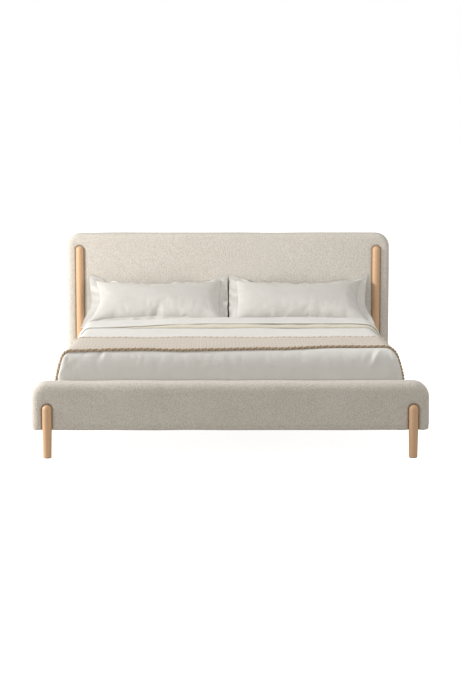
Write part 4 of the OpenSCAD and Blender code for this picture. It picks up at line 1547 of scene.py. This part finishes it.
@dataclass
class Pillow:
    """A flanged pillow leaned back on the headboard."""

    side: str
    seed: int
    cells: tuple[int, int] = (66, 38)
    belly_w: float = 0.816
    belly_l: float = 0.440
    height: float = 0.150
    crown: float = 0.072
    slack: float = 0.50
    swell_steps: int = 35
    filling_share: Point = (0.985, 0.975, 0.94)
    flange: float = 0.043
    flange_rows: int = 6
    flange_t: float = 0.0028
    ruffle: float = 0.0075
    ruffle_cycles: tuple[int, ...] = (9, 14, 23, 31, 43)
    lean: float = math.radians(29)
    foot_in: float = 0.012
    foot_up: float = 0.010
    ear_lift: float = 0.030
    sag: float = 0.026
    wall_gap: float = 0.014
    wall_give: float = 0.96
    wall_curl: float = 0.6

    def belly(self) -> Piece:
        """Returns the filled part, blown up by cloth simulation from two flat panels."""
        deselect_all()
        columns, rows = self.cells
        bpy.ops.mesh.primitive_grid_add(x_subdivisions=columns, y_subdivisions=rows, size=1.0)
        piece = bpy.context.active_object
        piece.name = piece.data.name = f"pillow_{self.side}_case"
        piece.scale = (self.belly_w * 1.03, self.belly_l * 1.05, 1.0)
        settle(piece)
        apply_modifier(piece, "SOLIDIFY", thickness=0.010, offset=0.0)
        points = read_points(piece)
        points[:, 2] += Ripple(self.seed, 0.09, 0.0015).at(points * np.array([1.0, 1.0, 0.0]))
        write_points(piece, points)
        calm = self.to_size(self.calm_shape(read_points(piece)))
        self.blow_up(piece)
        blown = self.to_size(read_points(piece))
        write_points(piece, calm * (1 - self.slack) + blown * self.slack)
        return piece

    def to_size(self, points: np.ndarray) -> np.ndarray:
        """Scales a belly to its finished size.

        Args:
            points: The belly's points.

        Returns:
            The scaled points.
        """
        spans = points.max(axis=0) - points.min(axis=0)
        return points * (np.array([self.belly_w, self.belly_l, self.height]) / spans)

    def calm_shape(self, points: np.ndarray) -> np.ndarray:
        """Works out a smoothly crowned belly, its sides pulled in between the corners.

        Args:
            points: The flat belly's points.

        Returns:
            The crowned points.
        """
        crowned = points.copy()
        u = points[:, 0] / (self.belly_w * 0.515)
        v = points[:, 1] / (self.belly_l * 0.525)
        rise = np.clip((1 - u ** 4) * (1 - v ** 4), 0, 1) ** 0.55
        crowned[:, 2] = np.sign(points[:, 2]) * (0.003 + self.crown * rise)
        crowned[:, 0] *= 1 - 0.05 * (1 - v ** 2)
        crowned[:, 1] *= 1 - 0.09 * (1 - u ** 2)
        pleats = Ripple(self.seed + 5, 0.075, 0.0045, (1.0, 4.0, 1.0))
        pleats = pleats.creases(points * np.array([1, 1, 0]))
        crowned[:, 2] += np.sign(points[:, 2]) * pleats * smooth_step(-v, 0.0, 0.55) * rise
        return crowned

    def blow_up(self, piece: Piece) -> None:
        """Fills the belly with air by cloth simulation.

        Args:
            piece: The flat belly.
        """
        activate(piece)
        cloth = piece.modifiers.new("Cloth", "CLOTH")
        for name, value in PILLOW_CLOTH.items():
            setattr(cloth.settings, name, value)
        cloth.settings.effector_weights.gravity = 0.0
        cloth.collision_settings.use_collision = False
        cloth.collision_settings.use_self_collision = False
        scene = bpy.context.scene
        for step in range(1, self.swell_steps + 1):
            scene.frame_set(step)
        bpy.ops.object.modifier_apply(modifier=cloth.name)
        scene.frame_set(1)

    def rim_order(self, piece: Piece) -> list[tuple[int, int]]:
        """Finds the belly's seam.

        Args:
            piece: The belly.

        Returns:
            Pairs of upper and lower vertex indices round the seam, in order.
        """
        half = len(piece.data.vertices) // 2
        columns, rows = self.cells[0] + 1, self.cells[1] + 1
        if half != columns * rows:
            raise ValueError("the belly's net isn't the size that the seam needs")
        grid = np.arange(half).reshape(rows, columns)
        ring = [*grid[0, :-1], *grid[:-1, -1], *grid[-1, :0:-1], *grid[:0:-1, 0]]
        return [(int(index), int(index) + half) for index in ring]

    def flange_strip(self, piece: Piece) -> Piece:
        """Returns the flat flange, gathered along the seam.

        Args:
            piece: The belly.
        """
        points = read_points(piece)
        seam = np.array([(points[a] + points[b]) / 2 for a, b in self.rim_order(piece)])
        count = len(seam)
        corner = np.array([self.belly_w / 2, self.belly_l / 2, 1.0])
        scaled = seam / corner
        longest = np.maximum(np.abs(scaled[:, 0]), np.abs(scaled[:, 1]))
        square = scaled / longest[:, None] * corner
        grown = np.array([1 + 2 * self.flange / self.belly_w, 1 + 2 * self.flange / self.belly_l, 1.0])
        out = 0.55 * (seam + (square * grown - square)) + 0.45 * square * grown
        net = np.zeros((self.flange_rows, count, 3))
        around = np.linspace(0, 2 * math.pi, count, endpoint=False)
        rng = np.random.default_rng(self.seed)
        ruffle = np.zeros(count)
        for cycles in self.ruffle_cycles:
            weight = rng.uniform(0.4, 1.0)
            wave = np.sin(around * cycles + rng.uniform(0, 6.3))
            ruffle += weight * wave / math.sqrt(cycles / 9)
        for row, share in enumerate(np.linspace(0.0, 1.0, self.flange_rows)):
            net[row] = seam * (1 - share) + out * share
            net[row, :, 2] = seam[:, 2] * (1 - share)
            net[row, :, 2] += self.ruffle * ruffle * math.sin(share * math.pi * 0.62) - 0.010 * share
        return piece_from_net(f"pillow_{self.side}_flange", net, closed=True)

    def place(self, piece: Piece) -> None:
        """Leans a part of the pillow back in its place on the bed.

        Args:
            piece: The part, lying flat round the origin.
        """
        low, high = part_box(f"pillowcase_{self.side}")
        centre = Vector(((low[0] + high[0]) / 2, (low[1] + high[1]) / 2, 0.0))
        points = read_points(piece)
        length = self.belly_l + 2 * self.flange
        foot_y = low[1] + self.foot_in
        foot_z = bed_top() + self.foot_up
        v = points[:, 1] + length / 2
        side = 1.0 if self.side == "right" else -1.0
        lift = self.ear_lift * smooth_step(np.abs(points[:, 0]) / (self.belly_w / 2), 0.72, 1.08)
        lift *= smooth_step(v, length * 0.62, length)
        sag = -self.sag * np.exp(-(points[:, 0] / 0.30) ** 2) * smooth_step(v, length * 0.4, length)
        along = v + lift + sag
        outer = smooth_step(side * points[:, 0] / (self.belly_w / 2), 0.55, 1.05)
        waist = np.sin(np.clip(v / length, 0.0, 1.0) * math.pi) ** 2
        foot = smooth_step(-v, -length * 0.28, 0.0) * outer
        placed = np.empty_like(points)
        inner = smooth_step(-side * points[:, 0] / (self.belly_w / 2), 0.55, 1.05)
        shift = 0.002 - 0.020 * waist * outer + 0.016 * foot - 0.011 * waist * inner
        placed[:, 0] = centre.x + points[:, 0] + side * shift
        placed[:, 1] = foot_y + along * math.cos(self.lean) - points[:, 2] * math.sin(self.lean)
        placed[:, 2] = foot_z + along * math.sin(self.lean) + points[:, 2] * math.cos(self.lean)
        placed[:, 1] -= 0.030 * foot
        placed[:, 2] = np.maximum(placed[:, 2], foot_z - 0.004) - 0.016 * foot
        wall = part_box("headboard_cover")[0][1] - self.wall_gap
        beyond = np.maximum(placed[:, 1] - wall, 0.0)
        placed[:, 1] -= beyond * self.wall_give
        placed[:, 2] += beyond * self.wall_curl
        write_points(piece, placed)

    def build(self) -> list[Piece]:
        """Returns the pillow's case, flange and filling."""
        case = self.belly()
        flange = self.flange_strip(case)
        filling = duplicate(case.data, f"pillow_{self.side}_filling")
        write_points(filling, read_points(filling) * np.array(self.filling_share))
        for piece in (case, filling):
            face_out(piece)
            apply_modifier(piece, "SUBSURF", levels=1, render_levels=1)
        for piece in (case, flange, filling):
            self.place(piece)
        apply_modifier(flange, "SOLIDIFY", thickness=self.flange_t, offset=0.0)
        face_out(flange)
        for piece in (case, flange, filling):
            smooth_shading(piece, math.radians(80))
        return [case, flange, filling]

    def dress(self, parts: Sequence[Piece]) -> None:
        """Dresses the pillow.

        Args:
            parts: What build returned.
        """
        case, flange, filling = parts
        body, cover = f"pillow_{self.side}", f"pillowcase_{self.side}"
        stand_in(case, Finish.PILLOW, body, cover)
        stand_in(flange, Finish.PILLOW, body, cover)
        insert = f"pillow_insert_{self.side}"
        stand_in(filling, Finish.FILLING, body, insert)


# ---------- Frame hardware ----------

@dataclass(frozen=True)
class Hardware:
    """The CAD nodes that keep their shape, and what each is made of."""

    finishes: tuple[tuple[Finish, tuple[str, ...]], ...] = (
        (Finish.ASH, ("headboard_post_left", "headboard_post_right", "front_leg_left",
                      "front_leg_right")),
        (Finish.FRAME_TIMBER, ("headboard_frame", "headboard_packers", "footboard_frame")),
        (Finish.RAIL_TIMBER, ("side_rail_board_left", "side_rail_board_right", "ledger_left",
                              "ledger_right", "centre_beam")),
        (Finish.PLYWOOD, ("headboard_panel", "footboard_panel")),
        (Finish.SLAT, ("slats_left", "slats_right")),
        (Finish.LINING, ("headboard_lining",)),
        (Finish.PLASTIC, ("post_glides", "leg_glides", "centre_leg_inserts", "leveller_pad_front",
                          "leveller_pad_rear", "slat_holders_left", "slat_holders_right",
                          "slat_holders_centre")),
        (Finish.BLACK_STEEL, ("corner_brackets", "beam_saddles", "centre_leg_front", "centre_leg_rear")),
        (Finish.ZINC, ("headboard_post_bolts", "front_leg_bolts", "ledger_screws", "corner_bolts",
                       "saddle_screws", "centre_leg_screws", "leveller_screw_front",
                       "leveller_screw_rear")),
    )

    def dress(self) -> None:
        """Puts each finish on its nodes."""
        for finish, nodes in self.finishes:
            for node in nodes:
                finish.on(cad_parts[node])
            log.info("%s on %d nodes", finish.name.lower(), len(nodes))


# ---------- Studio ----------

@dataclass(frozen=True)
class Softbox:
    """A large soft light aimed at a point."""

    name: str
    place: Point
    aim: Point
    size: tuple[float, float]
    power: float
    colour: Colour = (1.0, 1.0, 1.0)

    def build(self) -> None:
        """Adds the light."""
        data = bpy.data.lights.new(self.name, "AREA")
        data.shape = "RECTANGLE"
        data.size, data.size_y = self.size
        data.energy = self.power
        data.color = self.colour
        light = bpy.data.objects.new(self.name, data)
        bpy.context.collection.objects.link(light)
        light.location = self.place
        heading = Vector(self.aim) - Vector(self.place)
        light.rotation_euler = heading.to_track_quat("-Z", "Y").to_euler()


@dataclass(frozen=True)
class Studio:
    """Pale floor, soft light from the left, and the camera in front of the bed's foot."""

    camera_x: float = -0.06
    camera_back: float = 8.504
    camera_height: float = 1.489
    pitch: float = math.radians(6.0)
    yaw: float = math.radians(-0.39)
    lens: float = 85.6
    boxes: tuple[Softbox, ...] = (
        Softbox("window_left", (-5.0, -1.05, 2.2), (0.2, 0.8, 0.6), (0.9, 0.9), 218.0,
                (1.0, 0.985, 0.965)),
        Softbox("fill_right", (1.2, -1.05, 2.1), (-0.2, 1.03, 1.1), (0.8, 0.8), 9.0),
    )
    ambient: Colour = (0.517, 0.505, 0.482)
    glow: float = 0.95

    def build_camera(self) -> None:
        """Adds the camera and makes it the scene's own."""
        leg_low, leg_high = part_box("front_leg_left")
        data = bpy.data.cameras.new("camera")
        data.lens = self.lens
        data.sensor_width = 36.0
        camera = bpy.data.objects.new("camera", data)
        bpy.context.collection.objects.link(camera)
        camera.location = (self.camera_x, (leg_low[1] + leg_high[1]) / 2 - self.camera_back,
                           self.camera_height)
        camera.rotation_euler = (math.pi / 2 - self.pitch, 0.0, self.yaw)
        bpy.context.scene.camera = camera

    def glow_when_seen(self, recipe: Recipe) -> None:
        """Makes the floor glow where it shows, and not as a light.

        Args:
            recipe: The floor's material.
        """
        blend = recipe.add("ShaderNodeMapRange", To_Max=self.glow,
                           Value=recipe.add("ShaderNodeLightPath").outputs["Is Camera Ray"])
        recipe.shader.inputs["Emission Color"].default_value = (1.0, 1.0, 1.0, 1.0)
        recipe.tree.links.new(blend.outputs["Result"], recipe.shader.inputs["Emission Strength"])

    def build_floor(self) -> None:
        """Adds the floor and the pale surroundings."""
        deselect_all()
        bpy.ops.mesh.primitive_plane_add(size=120.0, location=(0.0, 0.0, 0.0))
        floor = bpy.context.active_object
        floor.name = floor.data.name = "floor"
        recipe = Recipe("pale_floor", 0.9)
        tones = [(0.0, (0.58, 0.56, 0.53)), (1.0, (0.62, 0.60, 0.57))]
        recipe.paint(recipe.ramp(recipe.noise(2.0), tones))
        self.glow_when_seen(recipe)
        floor.data.materials.append(recipe.material)
        world = bpy.data.worlds.new("studio")
        world.use_nodes = True
        nodes, links = world.node_tree.nodes, world.node_tree.links
        lit, seen = nodes["Background"], nodes.new("ShaderNodeBackground")
        lit.inputs["Color"].default_value = (*self.ambient, 1.0)
        seen.inputs["Color"].default_value = (1.0, 1.0, 1.0, 1.0)
        blend = nodes.new("ShaderNodeMixShader")
        links.new(nodes.new("ShaderNodeLightPath").outputs["Is Camera Ray"], blend.inputs[0])
        links.new(lit.outputs[0], blend.inputs[1])
        links.new(seen.outputs[0], blend.inputs[2])
        links.new(blend.outputs[0], nodes["World Output"].inputs["Surface"])
        bpy.context.scene.world = world
        bpy.context.scene.view_settings.view_transform = "Standard"

    def build(self) -> None:
        """Sets the whole studio up."""
        self.build_camera()
        self.build_floor()
        for softbox in self.boxes:
            softbox.build()


def pegs_of(nodes: Sequence[str]) -> tuple[Peg, ...]:
    """Reads posts or legs from their CAD nodes.

    Args:
        nodes: The nodes' names.

    Returns:
        A peg for each.
    """
    pegs = []
    for node in nodes:
        low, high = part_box(node)
        pegs.append(Peg((low[0] + high[0]) / 2, (low[1] + high[1]) / 2, high[2], (high[0] - low[0]) / 2))
    return tuple(pegs)


def main() -> None:
    """Builds and dresses the whole bed."""
    logging.basicConfig(level=logging.INFO, format="%(name)s %(message)s")
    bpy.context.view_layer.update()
    Studio().build()
    posts = pegs_of(["headboard_post_left", "headboard_post_right"])
    legs = pegs_of(["front_leg_left", "front_leg_right"])
    for cover in (
        PaddedBoard("headboard_cover", 0.085, 0.032, 0.012, 0.008, pegs=posts),
        PaddedBoard("footboard_cover", 0.080, 0.042, 0.022, 0.006, pegs=legs, seed=4),
        SideRail("left", posts[0]),
        SideRail("right", posts[1]),
    ):
        cover.dress(cover.build())
    for node in ("headboard_foam", "footboard_foam", "side_rail_foam_left", "side_rail_foam_right"):
        wadding = Wadding(node)
        wadding.dress(wadding.build())
    mattress = Mattress()
    mattress.dress_layers()
    mattress.dress(mattress.build_ticking(), mattress.build_sheet())
    duvet = Duvet()
    cover = duvet.build()
    folds = [duvet.build_fold("duvet_fold_upper", True), duvet.build_fold("duvet_fold_lining", False)]
    duvet.dress(cover, folds, duvet.build_filling(cover))
    throw = Throw()
    cloth = throw.build(cover)
    cords = [throw.build_cord(edge, f"throw_cord_{end}")
             for edge, end in zip(throw.edges(cloth), ("foot", "head"))]
    throw.dress(cloth, cords)
    for side, seed in (("left", 61), ("right", 67)):
        pillow = Pillow(side, seed)
        pillow.dress(pillow.build())
    Hardware().dress()
    bpy.context.view_layer.update()


if __name__ == "__main__":
    main()
